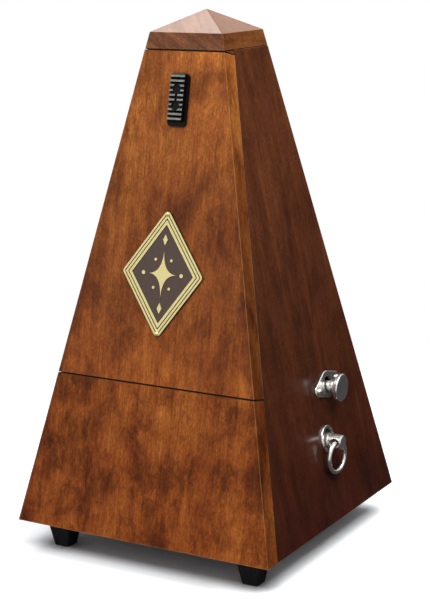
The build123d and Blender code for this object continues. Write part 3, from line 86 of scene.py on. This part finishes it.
# ---------------------------------------------------------------- node helpers
class NodeTree:
    """The node tree of a material or world, with short calls for the nodes used here."""

    def __init__(self, owner, output="ShaderNodeOutputMaterial"):
        self.owner = owner
        owner.use_nodes = True
        self.nodes = owner.node_tree.nodes
        self.links = owner.node_tree.links
        self.nodes.clear()
        self.out = self.node(output)

    def node(self, kind, **settings):
        made = self.nodes.new(kind)
        for key, value in settings.items():
            setattr(made, key, value)
        return made

    def feed(self, socket, value):
        """Set a socket to a number, colour or vector, or link another socket to it."""
        if isinstance(value, bpy.types.NodeSocket):
            self.links.new(value, socket)
        else:
            socket.default_value = value

    def position(self, turn=NO_TURN, scale=(1, 1, 1), shift=(0, 0, 0)):
        """Object position in millimetres, turned, then stretched and shifted."""
        coords = self.node("ShaderNodeTexCoord")
        turned = self.node("ShaderNodeMapping")
        self.feed(turned.inputs["Vector"], coords.outputs["Object"])
        turned.inputs["Rotation"].default_value = turn
        turned.inputs["Scale"].default_value = (1000, 1000, 1000)
        stretched = self.node("ShaderNodeMapping")
        self.feed(stretched.inputs["Vector"], turned.outputs["Vector"])
        stretched.inputs["Scale"].default_value = scale
        stretched.inputs["Location"].default_value = shift
        return stretched.outputs["Vector"]

    def facing(self, turn=NO_TURN):
        """X, Y and Z of the object's surface normal, turned."""
        coords = self.node("ShaderNodeTexCoord")
        turned = self.node("ShaderNodeMapping", vector_type="VECTOR")
        self.feed(turned.inputs["Vector"], coords.outputs["Normal"])
        turned.inputs["Rotation"].default_value = turn
        return self.split(turned.outputs["Vector"])

    def split(self, vector):
        """X, Y and Z of a vector."""
        made = self.node("ShaderNodeSeparateXYZ")
        self.feed(made.inputs[0], vector)
        return made.outputs

    def dot(self, first, second):
        made = self.node("ShaderNodeVectorMath", operation="DOT_PRODUCT")
        self.feed(made.inputs[0], first)
        self.feed(made.inputs[1], second)
        return made.outputs["Value"]

    def noise(self, vector, detail=3.0, roughness=0.55, distortion=0.0):
        made = self.node("ShaderNodeTexNoise")
        self.feed(made.inputs["Vector"], vector)
        made.inputs["Scale"].default_value = 1.0
        made.inputs["Detail"].default_value = detail
        made.inputs["Roughness"].default_value = roughness
        made.inputs["Distortion"].default_value = distortion
        return made.outputs["Fac"]

    def math(self, operation, first, second=0.0):
        made = self.node("ShaderNodeMath", operation=operation)
        self.feed(made.inputs[0], first)
        self.feed(made.inputs[1], second)
        return made.outputs[0]

    def remap(self, value, low, high, to_low=0.0, to_high=1.0, smooth=False):
        made = self.node("ShaderNodeMapRange")
        made.interpolation_type = "SMOOTHSTEP" if smooth else "LINEAR"
        self.feed(made.inputs["Value"], value)
        made.inputs["From Min"].default_value = low
        made.inputs["From Max"].default_value = high
        made.inputs["To Min"].default_value = to_low
        made.inputs["To Max"].default_value = to_high
        return made.outputs["Result"]

    def toward(self, vector, direction, span, results):
        """Goes from one result to the other while the vector's reach along a direction passes a span."""
        return self.remap(self.dot(vector, direction), *span, *results, smooth=True)

    def ramp(self, value, stops):
        made = self.node("ShaderNodeValToRGB")
        self.feed(made.inputs["Fac"], value)
        band = made.color_ramp.elements
        band[0].position, band[0].color = stops[0]
        band[1].position, band[1].color = stops[-1]
        for place, colour in stops[1:-1]:
            band.new(place).color = colour
        return made.outputs["Color"]

    def mix(self, share, first, second, blend="MIX"):
        made = self.node("ShaderNodeMix", data_type="RGBA", blend_type=blend)
        self.feed(made.inputs["Factor"], share)
        self.feed(made.inputs[6], first)
        self.feed(made.inputs[7], second)
        return made.outputs[2]

    def shade(self, colour, factor):
        """A colour multiplied by a number or by another colour."""
        return self.mix(1.0, colour, factor, "MULTIPLY")

    def mix_numbers(self, share, first, second):
        made = self.node("ShaderNodeMix", data_type="FLOAT")
        self.feed(made.inputs["Factor"], share)
        self.feed(made.inputs[2], first)
        self.feed(made.inputs[3], second)
        return made.outputs[0]

    def edges(self, radius):
        """How far the rounded normal leaves the true one: above 0 only along edges."""
        rounded = self.node("ShaderNodeBevel", samples=6)
        rounded.inputs["Radius"].default_value = radius
        true = self.node("ShaderNodeNewGeometry")
        return self.math("SUBTRACT", 1.0, self.dot(rounded.outputs["Normal"], true.outputs["Normal"]))

    def crevices(self, reach, samples=8):
        """1 on open surfaces, falling to 0 inside gaps and seams; used to paint shade there."""
        near = self.node("ShaderNodeAmbientOcclusion", samples=samples)
        near.inputs["Distance"].default_value = reach
        return near.outputs["AO"]

    def seam(self, colour, turn, axis, place, half_width=0.28):
        """Darken a colour along a joint at a place on a turned axis, but not on the faces that meet."""
        away = self.math("ABSOLUTE", self.math("SUBTRACT", self.split(self.position(turn))[axis], place))
        meeting = self.remap(self.math("ABSOLUTE", self.facing(turn)[axis]), 0.75, 0.9)
        line = self.remap(away, 0.55 * half_width, half_width, 0.05, 1.0)
        return self.shade(colour, self.math("MAXIMUM", line, meeting))

    def bump(self, height, strength, distance):
        made = self.node("ShaderNodeBump")
        made.inputs["Strength"].default_value = strength
        made.inputs["Distance"].default_value = distance
        self.feed(made.inputs["Height"], height)
        return made.outputs["Normal"]

    def surface(self, **inputs):
        """Show a Principled shader with these inputs, and return the material."""
        made = self.node("ShaderNodeBsdfPrincipled")
        for name, value in inputs.items():
            self.feed(made.inputs[name.replace("_", " ")], value)
        self.links.new(made.outputs["BSDF"], self.out.inputs["Surface"])
        return self.owner

    def mixed_surface(self, share, first, second):
        """Show a mix of two shader nodes."""
        made = self.node("ShaderNodeMixShader")
        self.feed(made.inputs[0], share)
        self.links.new(first.outputs[0], made.inputs[1])
        self.links.new(second.outputs[0], made.inputs[2])
        self.links.new(made.outputs[0], self.out.inputs["Surface"])


def new_material(name):
    return NodeTree(bpy.data.materials.new(name))


# ---------------------------------------------------------------- materials
PLAIN = (1.0, 1.0, 1.0)  # tint that changes nothing
# Lighter wood colour for corners, partly rubbed and partly a painted highlight.
WEAR_AND_HIGHLIGHT_WOOD = srgb(222, 158, 96)
HALF_CONTRAST = 0.46  # tone between the middle of wood's colour ramp and each of its ends
# The tints by height below paint light and shade onto the wood.
BODY_LIGHTING_HEIGHTS = (10.0, 110.0)  # wood goes from its foot tint to its body tint between these heights
HEAD_LIGHTING_HEIGHTS = (140.0, 200.0)  # and its head tint comes on top of that between these
# Painted shade on the side edges of wood, set for below and above, near the side walls.
EDGE_HEIGHTS = (60.0, 150.0)  # its side edges go from their lower shade to their upper one between these
EDGE_FADE = (1.2, 5.5)  # distances in from a side wall between which that shade fades out


def wood(name, turn, stops, seed, gloss=0.36, specular=0.13, coat=0.03, mottle=1.0, foot=PLAIN, body=PLAIN,
         head=PLAIN, edge_painted_shades=(1.0, 1.0), wear_and_highlight=0.45, streaks=0.6, layered=1.0, painted_top_light=None, seams=()):
    """Stained, lacquered wood whose grain runs along the turned Z axis.

    The stops are its colour ramp. The foot, body and head tints paint light and shade on it by height,
    and the edge shades paint shade on its side edges, below and above. Mottle strengthens its clouds
    and streaks its long figure, which layered below 1 draws out along the turned Y axis too. Its
    corners are lightened, partly by rubbing and partly as a painted highlight, and faces that look up
    can get an evener colour painted on them for how light falls there.
    """
    tree = new_material(name)
    shift = (seed * 13.7, seed * 7.3, seed * 5.1)

    def figure(scale, **settings):
        return tree.noise(tree.position(turn, scale, shift), **settings)

    clouds = figure((0.050, 0.050, 0.030), detail=8.0, roughness=0.68, distortion=0.3)
    patches = figure((0.13, 0.13, 0.08), detail=7.0, roughness=0.72, distortion=0.5)
    drift = figure((0.14, 0.14 * layered, 0.012), detail=4.0, roughness=0.6, distortion=0.3)
    flecks = figure((0.5, 0.5, 0.16), detail=6.0, roughness=0.8)
    fibres = figure((1.15, 1.15 * layered, 0.045), detail=4.0, roughness=0.8)
    grain = figure((1.5, 1.5, 0.6), detail=4.0, roughness=0.85)

    shares = (
        (clouds, 0.75 * mottle),
        (drift, streaks),
        (flecks, 0.5 * mottle),
        (fibres, 0.5),
        (grain, 0.85),
    )
    tone = 0.0
    for layer, share in shares:
        tone = tree.math("ADD", tree.math("MULTIPLY", layer, share), tone)
    middle = sum(share for layer, share in shares) / 2
    colour = tree.ramp(tree.remap(tone, middle - HALF_CONTRAST, middle + HALF_CONTRAST), stops)
    dips = (
        (clouds, 0.38, 0.52, 1.0 - 0.28 * mottle),
        (patches, 0.40, 0.48, 1.0 - 0.22 * mottle),
        (fibres, 0.32, 0.42, 0.72),
    )
    for layer, low, high, darkest in dips:
        colour = tree.shade(colour, tree.remap(layer, low, high, darkest, 1.0, smooth=True))
    # Painted light: faces that look up get an evener colour for how light falls on them.
    if painted_top_light:
        colour = tree.mix(tree.remap(tree.facing()["Z"], 0.6, 0.8, 0.0, 0.6), colour, painted_top_light)

    spot = tree.split(tree.position())
    # Painted light and shade: tints by height.
    for heights, lower, upper in ((BODY_LIGHTING_HEIGHTS, foot, body), (HEAD_LIGHTING_HEIGHTS, PLAIN, head)):
        tint = tree.mix(tree.remap(spot["Z"], *heights), (*lower, 1.0), (*upper, 1.0))
        colour = tree.shade(colour, tint)
    # Painted shade along the side edges, fading out away from the side walls.
    leaning = tree.math("MULTIPLY", tree.math("SUBTRACT", spot["Z"], CASE_FOOT), SLOPE)
    wall = tree.math("SUBTRACT", HALF_BASE, leaning)
    inset = tree.math("SUBTRACT", wall, tree.math("ABSOLUTE", spot["X"]))
    ragged = tree.math("ADD", inset, tree.math("MULTIPLY", flecks, 3.0))
    inner = tree.remap(ragged, *EDGE_FADE, smooth=True)
    edge_painted_shade = tree.remap(spot["Z"], *EDGE_HEIGHTS, *edge_painted_shades)
    colour = tree.shade(colour, tree.mix_numbers(inner, edge_painted_shade, 1.0))

    # Corners lightened, partly as rubbing and partly as a painted highlight along the edges.
    corners = tree.remap(tree.edges(0.6 * MM), 0.02, 0.12)
    wear_and_highlight_mask = tree.math("MULTIPLY", corners, tree.remap(flecks, 0.35, 0.6, 0.3, 1.0))
    colour = tree.mix(tree.math("MULTIPLY", wear_and_highlight_mask, wear_and_highlight), colour, WEAR_AND_HIGHLIGHT_WOOD)
    # Painted shade: darker in gaps and seams and close to other parts.
    colour = tree.shade(colour, tree.remap(tree.crevices(3 * MM), 0.35, 0.85, 0.03, 1.0))
    for seam in seams:
        colour = tree.seam(colour, *seam)
    relief = tree.math("ADD", tree.math("MULTIPLY", fibres, 0.7), tree.math("MULTIPLY", grain, 0.4))
    return tree.surface(
        Base_Color=colour,
        Roughness=tree.remap(fibres, 0.3, 0.7, gloss + 0.07, gloss - 0.05),
        Specular_IOR_Level=specular,
        Coat_Weight=coat,
        Coat_Roughness=0.18,
        Coat_IOR=1.45,
        Normal=tree.bump(relief, 0.25, 0.06 * MM),
    )


def metal(name, colour, rough, metallic=1.0):
    """Plated or brushed metal with faint cloudy tarnish."""
    tree = new_material(name)
    marks = tree.noise(tree.position(scale=(3.0, 3.0, 3.0)), detail=4.0, roughness=0.6)
    tarnish = tree.noise(tree.position(scale=(0.35, 0.35, 0.35)), detail=3.0, roughness=0.6)
    darker = (*(0.82 * channel for channel in colour[:3]), 1.0)
    return tree.surface(
        Base_Color=tree.mix(tree.remap(tarnish, 0.35, 0.7), colour, darker),
        Metallic=metallic,
        Roughness=tree.remap(marks, 0.3, 0.7, rough - 0.04, rough + 0.06),
        Normal=tree.bump(marks, 0.05, 0.03 * MM),
    )


def moulded_black():
    """Black plastic: a painted grey highlight on the latch button's highest ribs, painted shade deeper down.
    """
    tree = new_material("black_plastic")
    grain = tree.noise(tree.position(scale=(5, 5, 5)), detail=3.0)
    wear_and_highlight = tree.noise(tree.position(scale=(0.8, 2.5, 2.5)), detail=3.0)
    face = upright("latch_button", 1, min)
    depth = tree.split(tree.position(FRONT_TURN))["Y"]
    # Painted highlight on the rib tips, made patchy by noise.
    tip = tree.remap(depth, face + 0.12, face + 0.03, smooth=True)
    wear_and_highlight_mask = tree.math("MULTIPLY", tip, tree.remap(wear_and_highlight, 0.35, 0.65, 0.45, 1.0))
    # Painted shade: darker deeper between the ribs.
    black = tree.mix(tree.remap(depth, face + 0.1, face + 0.7), srgb(22, 23, 25), srgb(4, 4, 5))
    return tree.surface(
        Base_Color=tree.mix(wear_and_highlight_mask, black, srgb(160, 162, 152)),
        Roughness=tree.remap(grain, 0.3, 0.7, 0.36, 0.5),
        Specular_IOR_Level=0.15,
        Normal=tree.bump(grain, 0.15, 0.04 * MM),
    )


def foot_black():
    """Black lacquer with a leathery grain."""
    tree = new_material("foot_black")
    grain = tree.noise(tree.position(scale=(0.9, 0.9, 0.9)), detail=4.0)
    fine = tree.noise(tree.position(scale=(6, 6, 6)), detail=2.0)
    colour = srgb(36, 36, 38)
    paler = (*(2.2 * channel for channel in colour[:3]), 1.0)
    return tree.surface(
        Base_Color=tree.mix(tree.remap(grain, 0.35, 0.7), colour, paler),
        Roughness=tree.remap(fine, 0.3, 0.7, 0.26, 0.4),
        Specular_IOR_Level=0.4,
        Normal=tree.bump(fine, 0.15, 0.04 * MM),
    )


def badge_metal():
    """Satin brass with two black engraved lines round a field that is filled dark brown."""
    tree = new_material("badge_brass")
    spot = tree.split(tree.position(FRONT_TURN))
    sunk = tree.remap(spot["Y"], BADGE_FACE + 0.02, BADGE_FACE + 0.05)
    across = tree.math("DIVIDE", tree.math("ABSOLUTE", spot["X"]), BADGE_HALF[0])
    along = tree.math("ABSOLUTE", tree.math("SUBTRACT", spot["Z"], BADGE_MIDDLE))
    outward = tree.math("ADD", across, tree.math("DIVIDE", along, BADGE_HALF[1]))
    lines = tree.remap(outward, BADGE_FIELD - 0.004, BADGE_FIELD + 0.004)
    brush = tree.noise(tree.position(FRONT_TURN, (0.25, 4.0, 6.0)), detail=3.0)
    fill_grain = tree.noise(tree.position(scale=(2.5, 2.5, 2.5)), detail=3.0)
    brass = tree.mix(tree.remap(brush, 0.3, 0.7), srgb(224, 206, 136), srgb(240, 226, 164))
    fill = tree.mix(tree.remap(fill_grain, 0.3, 0.7), srgb(68, 49, 41), srgb(84, 62, 53))
    fill = tree.mix(lines, fill, srgb(24, 22, 8))
    return tree.surface(
        Base_Color=tree.mix(sunk, brass, fill),
        Metallic=tree.remap(sunk, 0.0, 1.0, 0.55, 0.0),
        Roughness=tree.remap(brush, 0.3, 0.7, 0.34, 0.44),
        Normal=tree.bump(brush, 0.08, 0.03 * MM),
    )


def scale_ink():
    """Black print, worn a little grey."""
    tree = new_material("scale_ink")
    worn = tree.noise(tree.position(scale=(1.5, 1.5, 1.5)), detail=3.0)
    colour = tree.mix(tree.remap(worn, 0.35, 0.7), srgb(22, 21, 20), srgb(52, 48, 42))
    return tree.surface(Base_Color=colour, Roughness=0.5, Specular_IOR_Level=0.3)


# ---------------------------------------------------------------- finishes by node, and by slot for the rest
WALNUT = (
    (0.0, srgb(84, 36, 17)),
    (0.25, srgb(113, 54, 24)),
    (0.5, srgb(147, 78, 34)),
    (0.75, srgb(184, 110, 49)),
    (1.0, srgb(214, 146, 72)),
)
# Darker walnut for the side and back walls; part of that darkness is painted shade.
SIDE = (
    (0.0, srgb(52, 22, 13)),
    (0.3, srgb(74, 36, 21)),
    (0.6, srgb(104, 56, 32)),
    (0.85, srgb(128, 75, 42)),
    (1.0, srgb(150, 92, 52)),
)
CAP = (
    (0.0, srgb(72, 34, 16)),
    (0.35, srgb(106, 58, 29)),
    (0.65, srgb(142, 86, 46)),
    (1.0, srgb(186, 128, 78)),
)
RAW = (
    (0.0, srgb(165, 128, 84)),
    (0.5, srgb(198, 164, 116)),
    (1.0, srgb(222, 192, 146)),
)
BASE = (
    (0.0, srgb(70, 48, 32)),
    (0.5, srgb(96, 68, 46)),
    (1.0, srgb(120, 88, 62)),
)

FRONT_SEED = 1.9  # shared by the cover and the panel under it, so that the figure runs on across their seam
SIDE_LOOK = {
    "gloss": 0.4,
    "specular": 0.05,
    "coat": 0.5,
    "mottle": 0.6,
    # painted shade at the foot and painted light at the head
    "foot": (0.54, 0.34, 0.36),
    "head": (1.15, 1.18, 1.12),
}
BARE_LOOK = {"gloss": 0.5, "specular": 0.2, "coat": 0.0}

side_seams = ((FRONT_TURN, "Y", SEAM_DEPTH),)
lower_seams = ((FRONT_TURN, "Z", upright("lower_front_panel", 2, max)),) + side_seams
cover_seams = tuple((FRONT_TURN, "Z", upright("front_cover", 2, end)) for end in (min, max)) + side_seams
cap_seams = ((NO_TURN, "Z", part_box("right_side_panel")[1][2] * 1000),)
finishes = {
    "front_cover": wood(
        "cover_wood", FRONT_TURN, WALNUT, FRONT_SEED,
        # painted light and shade by height: lighter at the foot and the head, darker in the body
        foot=(1.75, 1.55, 1.05),
        body=(0.86, 0.86, 0.88),
        head=(1.78, 2.0, 1.85),
        # painted shade on its side edges, darker below
        edge_painted_shades=(0.36, 0.88),
        # corners lightened, partly rubbing and partly painted highlight
        wear_and_highlight=0.7,
        seams=cover_seams,
    ),
    "lower_front_panel": wood(
        "lower_front_wood", FRONT_TURN, WALNUT, FRONT_SEED,
        specular=0.08,
        mottle=1.35,
        # painted shade: darker and redder toward the foot
        foot=(0.95, 0.82, 0.74),
        # painted shade on its side edges
        edge_painted_shades=(0.78, 0.75),
        # corners lightened, partly rubbing and partly painted highlight
        wear_and_highlight=0.6,
        seams=lower_seams,
    ),
    "right_side_panel": wood("right_side_wood", RIGHT_TURN, SIDE, 3.1, seams=side_seams, **SIDE_LOOK),
    "left_side_panel": wood("left_side_wood", LEFT_TURN, SIDE, 4.2, seams=side_seams, **SIDE_LOOK),
    "back_panel": wood("back_wood", BACK_TURN, SIDE, 5.6, **SIDE_LOOK),
    "top_cap": wood(
        "cap_wood", CAP_TURN, CAP, 6.3,
        gloss=0.19,
        specular=0.27,
        coat=0.0,
        mottle=0.5,
        streaks=1.4,
        layered=0.08,
        # painted light on the faces that look up
        painted_top_light=srgb(140, 92, 56),
        seams=cap_seams,
    ),
    "base_board": wood("base_wood", LYING, BASE, 7.7, mottle=0.5, **BARE_LOOK),
    "scale_cleats": wood("cleat_wood", FRONT_TURN, RAW, 8.8, mottle=0.4, **BARE_LOOK),
    "cover_pegs": wood("peg_wood", FRONT_TURN, RAW, 9.1, mottle=0.4, **BARE_LOOK),
}
slots = {
    "foot_black": foot_black(),
    "nickel": metal("nickel", srgb(238, 234, 228), 0.2, metallic=0.92),
    "steel": metal("steel", srgb(178, 178, 180), 0.3),
    "spring_steel": metal("spring_steel", srgb(98, 104, 122), 0.32),
    "brass": metal("brass", srgb(214, 178, 96), 0.28),
    "badge_brass": badge_metal(),
    "scale_metal": metal("scale_metal", srgb(226, 212, 160), 0.42, metallic=0.3),
    "black_plastic": moulded_black(),
}
for row in RECORD["subparts"]:
    node = NODES[row["node"]]
    finish = finishes.get(row["node"]) or slots[row["material_slot"]]
    node.data.materials.clear()
    node.data.materials.append(finish)


# ---------------------------------------------------------------- badge and scale
def new_object(name, data):
    made = bpy.data.objects.new(name, data)
    bpy.context.scene.collection.objects.link(made)
    return made


def on_front(across, depth, slope):
    """Blender's point at distances across, behind and along the leaning front."""
    return FRONT.inverted() @ Vector((across, depth, slope)) * MM


def inlay(name, outlines, face, back, body, lettering=()):
    """Flat solids between two depths, each with its own outline, as one piece on a body."""
    mesh = bmesh.new()
    for letters in lettering:
        mesh.from_mesh(letters)
    for outline in outlines:
        rings = [[mesh.verts.new(on_front(x, depth, z)) for x, z in outline] for depth in (face, back)]
        count = len(outline)
        mesh.faces.new(rings[0])
        mesh.faces.new(reversed(rings[1]))
        for n in range(count):
            after = (n + 1) % count
            mesh.faces.new((rings[0][after], rings[0][n], rings[1][n], rings[1][after]))
    bmesh.ops.recalc_face_normals(mesh, faces=mesh.faces)
    data = bpy.data.meshes.new(name)
    mesh.to_mesh(data)
    mesh.free()
    piece = new_object(name, data)
    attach(piece, body)
    return piece


def star(half_width, half_height, hollow=4.0, points=96):
    """Four-pointed star with hollow sides, round the badge's middle."""
    outline = []
    for n in range(points):
        angle = 2 * math.pi * n / points
        across = math.copysign(abs(math.cos(angle)) ** hollow, math.cos(angle)) * half_width
        along = math.copysign(abs(math.sin(angle)) ** hollow, math.sin(angle)) * half_height
        outline.append((across, BADGE_MIDDLE + along))
    return outline


def disc(across, along, radius, points=24):
    outline = []
    for n in range(points):
        angle = 2 * math.pi * n / points
        outline.append((across + radius * math.cos(angle), BADGE_MIDDLE + along + radius * math.sin(angle)))
    return outline


def lozenge(along, half_width, half_height):
    corners = ((half_width, 0), (0, half_height), (-half_width, 0), (0, -half_height))
    return [(x, BADGE_MIDDLE + along + z) for x, z in corners]


def make_badge_ornament():
    """A slim star between small lozenges and studs, level with the badge's rim."""
    thickness = 0.25
    outlines = [star(half_width=6.6, half_height=10.2)]
    for side in (-1, 1):
        outlines.append(lozenge(along=side * 13.6, half_width=1.1, half_height=2.2))
        outlines.append(disc(across=side * 8.7, along=0.0, radius=0.8))
        outlines.append(disc(across=side * 3.6, along=5.6, radius=0.6))
        outlines.append(disc(across=side * 3.6, along=-5.6, radius=0.6))
    ornament = inlay("badge_ornament", outlines, BADGE_FACE, BADGE_FACE + thickness, "cover")
    ornament.data.materials.append(slots["badge_brass"])


def number(value, across, slope, side, face):
    """Mesh of a number that stands on the scale, beside a place, to its left or right."""
    writing = bpy.data.curves.new("number", "FONT")
    writing.body = str(value)
    writing.size = 2.8  # its digits are about 2 mm high
    writing.extrude = 0.04
    writing.resolution_u = 3
    writing.align_x = "LEFT" if side > 0 else "RIGHT"
    writing.align_y = "CENTER"
    holder = new_object("number", writing)
    shaped = holder.evaluated_get(bpy.context.evaluated_depsgraph_get())
    letters = bpy.data.meshes.new_from_object(shaped)
    for vertex in letters.vertices:
        x, y, z = vertex.co
        vertex.co = on_front(across + x, face - z, slope + y)
    bpy.data.objects.remove(holder)
    bpy.data.curves.remove(writing)
    return letters


def make_scale_marks():
    """Plain tempo numbers and lines beside the pendulum, over the travel of the weight's upper edge."""
    steps = ((40, 60, 2), (60, 72, 3), (72, 120, 4), (120, 144, 6), (144, 209, 8))
    tempi = [value for start, stop, step in steps for value in range(start, stop, step)]
    slide = next(joint for joint in RECORD["behaviour"]["joints"] if joint["name"] == "tempo_weight_slide")
    weight_top = upright("tempo_weight", 2, max)
    fastest, slowest = (weight_top + reach * 1000 for reach in slide["range_m"])
    face = upright("scale_plate", 1, min) - 0.02
    near, far = 8.4, 11.6  # where a line begins and ends, from the pendulum
    half_line = 0.13  # half a line's thickness
    gap = 0.7  # between a line and its number
    lines = []
    lettering = []
    for n, value in enumerate(tempi):
        slope = slowest + (fastest - slowest) * n / (len(tempi) - 1)
        side = -1 if n % 2 == 0 else 1
        low = slope - half_line
        high = slope + half_line
        lines.append([(side * near, low), (side * far, low), (side * far, high), (side * near, high)])
        lettering.append(number(value, side * (far + gap), slope, side, face))
    marks = inlay("scale_marks", lines, face - 0.02, face + 0.06, "case", lettering)
    marks.data.materials.append(scale_ink())


make_badge_ornament()
make_scale_marks()

# ---------------------------------------------------------------- softened edges on the CAD nodes
SOFT_EDGES = {
    "front_cover": 0.35,
    "lower_front_panel": 0.35,
    "left_side_panel": 0.3,
    "right_side_panel": 0.3,
    "back_panel": 0.3,
    "top_cap": 0.4,
    "front_left_foot": 0.3,
    "front_right_foot": 0.3,
    "rear_foot": 0.3,
    "latch_button": 0.12,
    "badge_plate": 0.08,
}
for name, width in SOFT_EDGES.items():
    node = NODES[name]
    weld = node.modifiers.new("weld", "WELD")
    weld.merge_threshold = 1e-6
    soften = node.modifiers.new("soften", "BEVEL")
    soften.width = width * MM
    soften.segments = 2
    soften.limit_method = "ANGLE"
    soften.angle_limit = math.radians(35)
    shading = node.modifiers.new("level", "WEIGHTED_NORMAL")
    shading.mode = "FACE_AREA"
    shading.weight = 100
    shading.keep_sharp = False


# ---------------------------------------------------------------- stage: floor, world, lamps, camera
def make_floor():
    """Pale floor with a contact shadow near the object, and plain white further off.

    The contact shadow is partly painted by occlusion and painted paler on the right, and the floor
    mirrored in gloss fades toward the back right.
    """
    reach = 6.0
    mesh = bpy.data.meshes.new("floor")
    corners = [(-reach, -reach, 0), (reach, -reach, 0), (reach, reach, 0), (-reach, reach, 0)]
    mesh.from_pydata(corners, [], [(0, 1, 2, 3)])
    floor = new_object("floor", mesh)
    tree = new_material("floor")
    metres = tree.position(scale=(MM, MM, MM))
    length = tree.node("ShaderNodeVectorMath", operation="LENGTH")
    tree.feed(length.inputs[0], metres)
    far = tree.remap(length.outputs["Value"], 0.15, 0.36, smooth=True)
    path = tree.node("ShaderNodeLightPath")
    glossy = path.outputs["Is Glossy Ray"]
    seen = tree.math("MAXIMUM", path.outputs["Is Camera Ray"], path.outputs["Is Transmission Ray"])

    # Painted light: the floor is paler from just inside the object's right side outward, lightening its
    # shadow.
    paler = tree.toward(metres, (1, 0, 0), span=(0.028, 0.050), results=(1.0, 1.5))
    # Painted shadow: occlusion darkens the floor near the object.
    contact = tree.crevices(10 * MM, samples=16)
    pale = tree.shade((1.24, 1.26, 1.28, 1), tree.math("MULTIPLY", contact, paler))
    grey = tree.mix(glossy, (0.28, 0.28, 0.28, 1), (0.05, 0.05, 0.05, 1))
    lit = tree.node("ShaderNodeBsdfDiffuse")
    tree.feed(lit.inputs["Color"], tree.mix(seen, grey, pale))

    fading = tree.toward(metres, (0.5, 0.85, 0), span=(-0.15, 0.25), results=(0.9, 0.03))
    mirrored = tree.math("MULTIPLY", glossy, fading)
    white = tree.node("ShaderNodeEmission")
    white.inputs["Color"].default_value = (1, 1, 1, 1)
    tree.feed(white.inputs["Strength"], tree.math("MAXIMUM", seen, mirrored))
    share = tree.math("MULTIPLY", far, tree.math("MAXIMUM", seen, glossy))
    tree.mixed_surface(share, lit, white)
    mesh.materials.append(tree.owner)


def make_world():
    """Plain white to the camera, while its light and its reflection fade toward the back right."""
    world = bpy.data.worlds.new("studio")
    bpy.context.scene.world = world
    tree = NodeTree(world, "ShaderNodeOutputWorld")
    path = tree.node("ShaderNodeLightPath")
    ray = tree.node("ShaderNodeTexCoord").outputs["Generated"]
    soft = tree.toward(ray, (0.55, 0.83, -0.1), span=(-0.6, 0.7), results=(0.45, 0.13))
    mirrored = tree.toward(ray, (0.51, 0.81, -0.30), span=(0.45, 0.9), results=(1.0, 0.03))
    ambient = tree.node("ShaderNodeBackground")
    ambient.inputs["Color"].default_value = (0.97, 0.98, 1.0, 1)
    strength = tree.mix_numbers(path.outputs["Is Glossy Ray"], soft, mirrored)
    tree.feed(ambient.inputs["Strength"], strength)
    plain = tree.node("ShaderNodeBackground")
    plain.inputs["Color"].default_value = (1, 1, 1, 1)
    seen = tree.math("MAXIMUM", path.outputs["Is Camera Ray"], path.outputs["Is Transmission Ray"])
    tree.mixed_surface(seen, ambient, plain)


def softbox(name, place, target, size, watts):
    data = bpy.data.lights.new(name, "AREA")
    data.shape = "RECTANGLE"
    data.size, data.size_y = size
    data.energy = watts
    lamp = new_object(name, data)
    lamp.location = place
    aim = Vector(target) - Vector(place)
    lamp.rotation_mode = "QUATERNION"
    lamp.rotation_quaternion = aim.to_track_quat("-Z", "Y")


def make_camera():
    """The photograph's camera, as fitted to the corners of the case."""
    azimuth = math.radians(29.77)
    elevation = math.radians(12.62)
    roll = math.radians(-0.47)
    distance, aside, above = 711.92, 1.53, 97.9  # from the origin, along the camera's own axes
    data = bpy.data.cameras.new("camera")
    data.sensor_width = 36
    data.lens = 99.47
    data.clip_start = 0.01
    data.clip_end = 100
    camera = new_object("camera", data)
    bpy.context.scene.camera = camera
    back = Vector((
        math.sin(azimuth) * math.cos(elevation),
        -math.cos(azimuth) * math.cos(elevation),
        math.sin(elevation),
    ))
    level = Vector((0, 0, 1)).cross(back).normalized()
    upward = back.cross(level)
    right = level * math.cos(roll) + upward * math.sin(roll)
    top = upward * math.cos(roll) - level * math.sin(roll)
    place = back * distance * MM + right * aside * MM + top * above * MM
    camera.matrix_world = Matrix((
        (right.x, top.x, back.x, place.x),
        (right.y, top.y, back.y, place.y),
        (right.z, top.z, back.z, place.z),
        (0, 0, 0, 1),
    ))


make_floor()
make_world()
softbox("key", place=(0.05, -0.5, 0.85), target=(0, 0, 0.12), size=(0.6, 0.5), watts=5.0)
softbox("overhead", place=(-0.86, 0.56, 1.65), target=(0, 0, 0.15), size=(0.8, 0.58), watts=7.8)
softbox("side_fill", place=(0.28, 0.0, 0.5), target=(0, 0, 0.14), size=(0.25, 0.25), watts=1.2)
make_camera()

bpy.context.scene.view_settings.view_transform = "Standard"
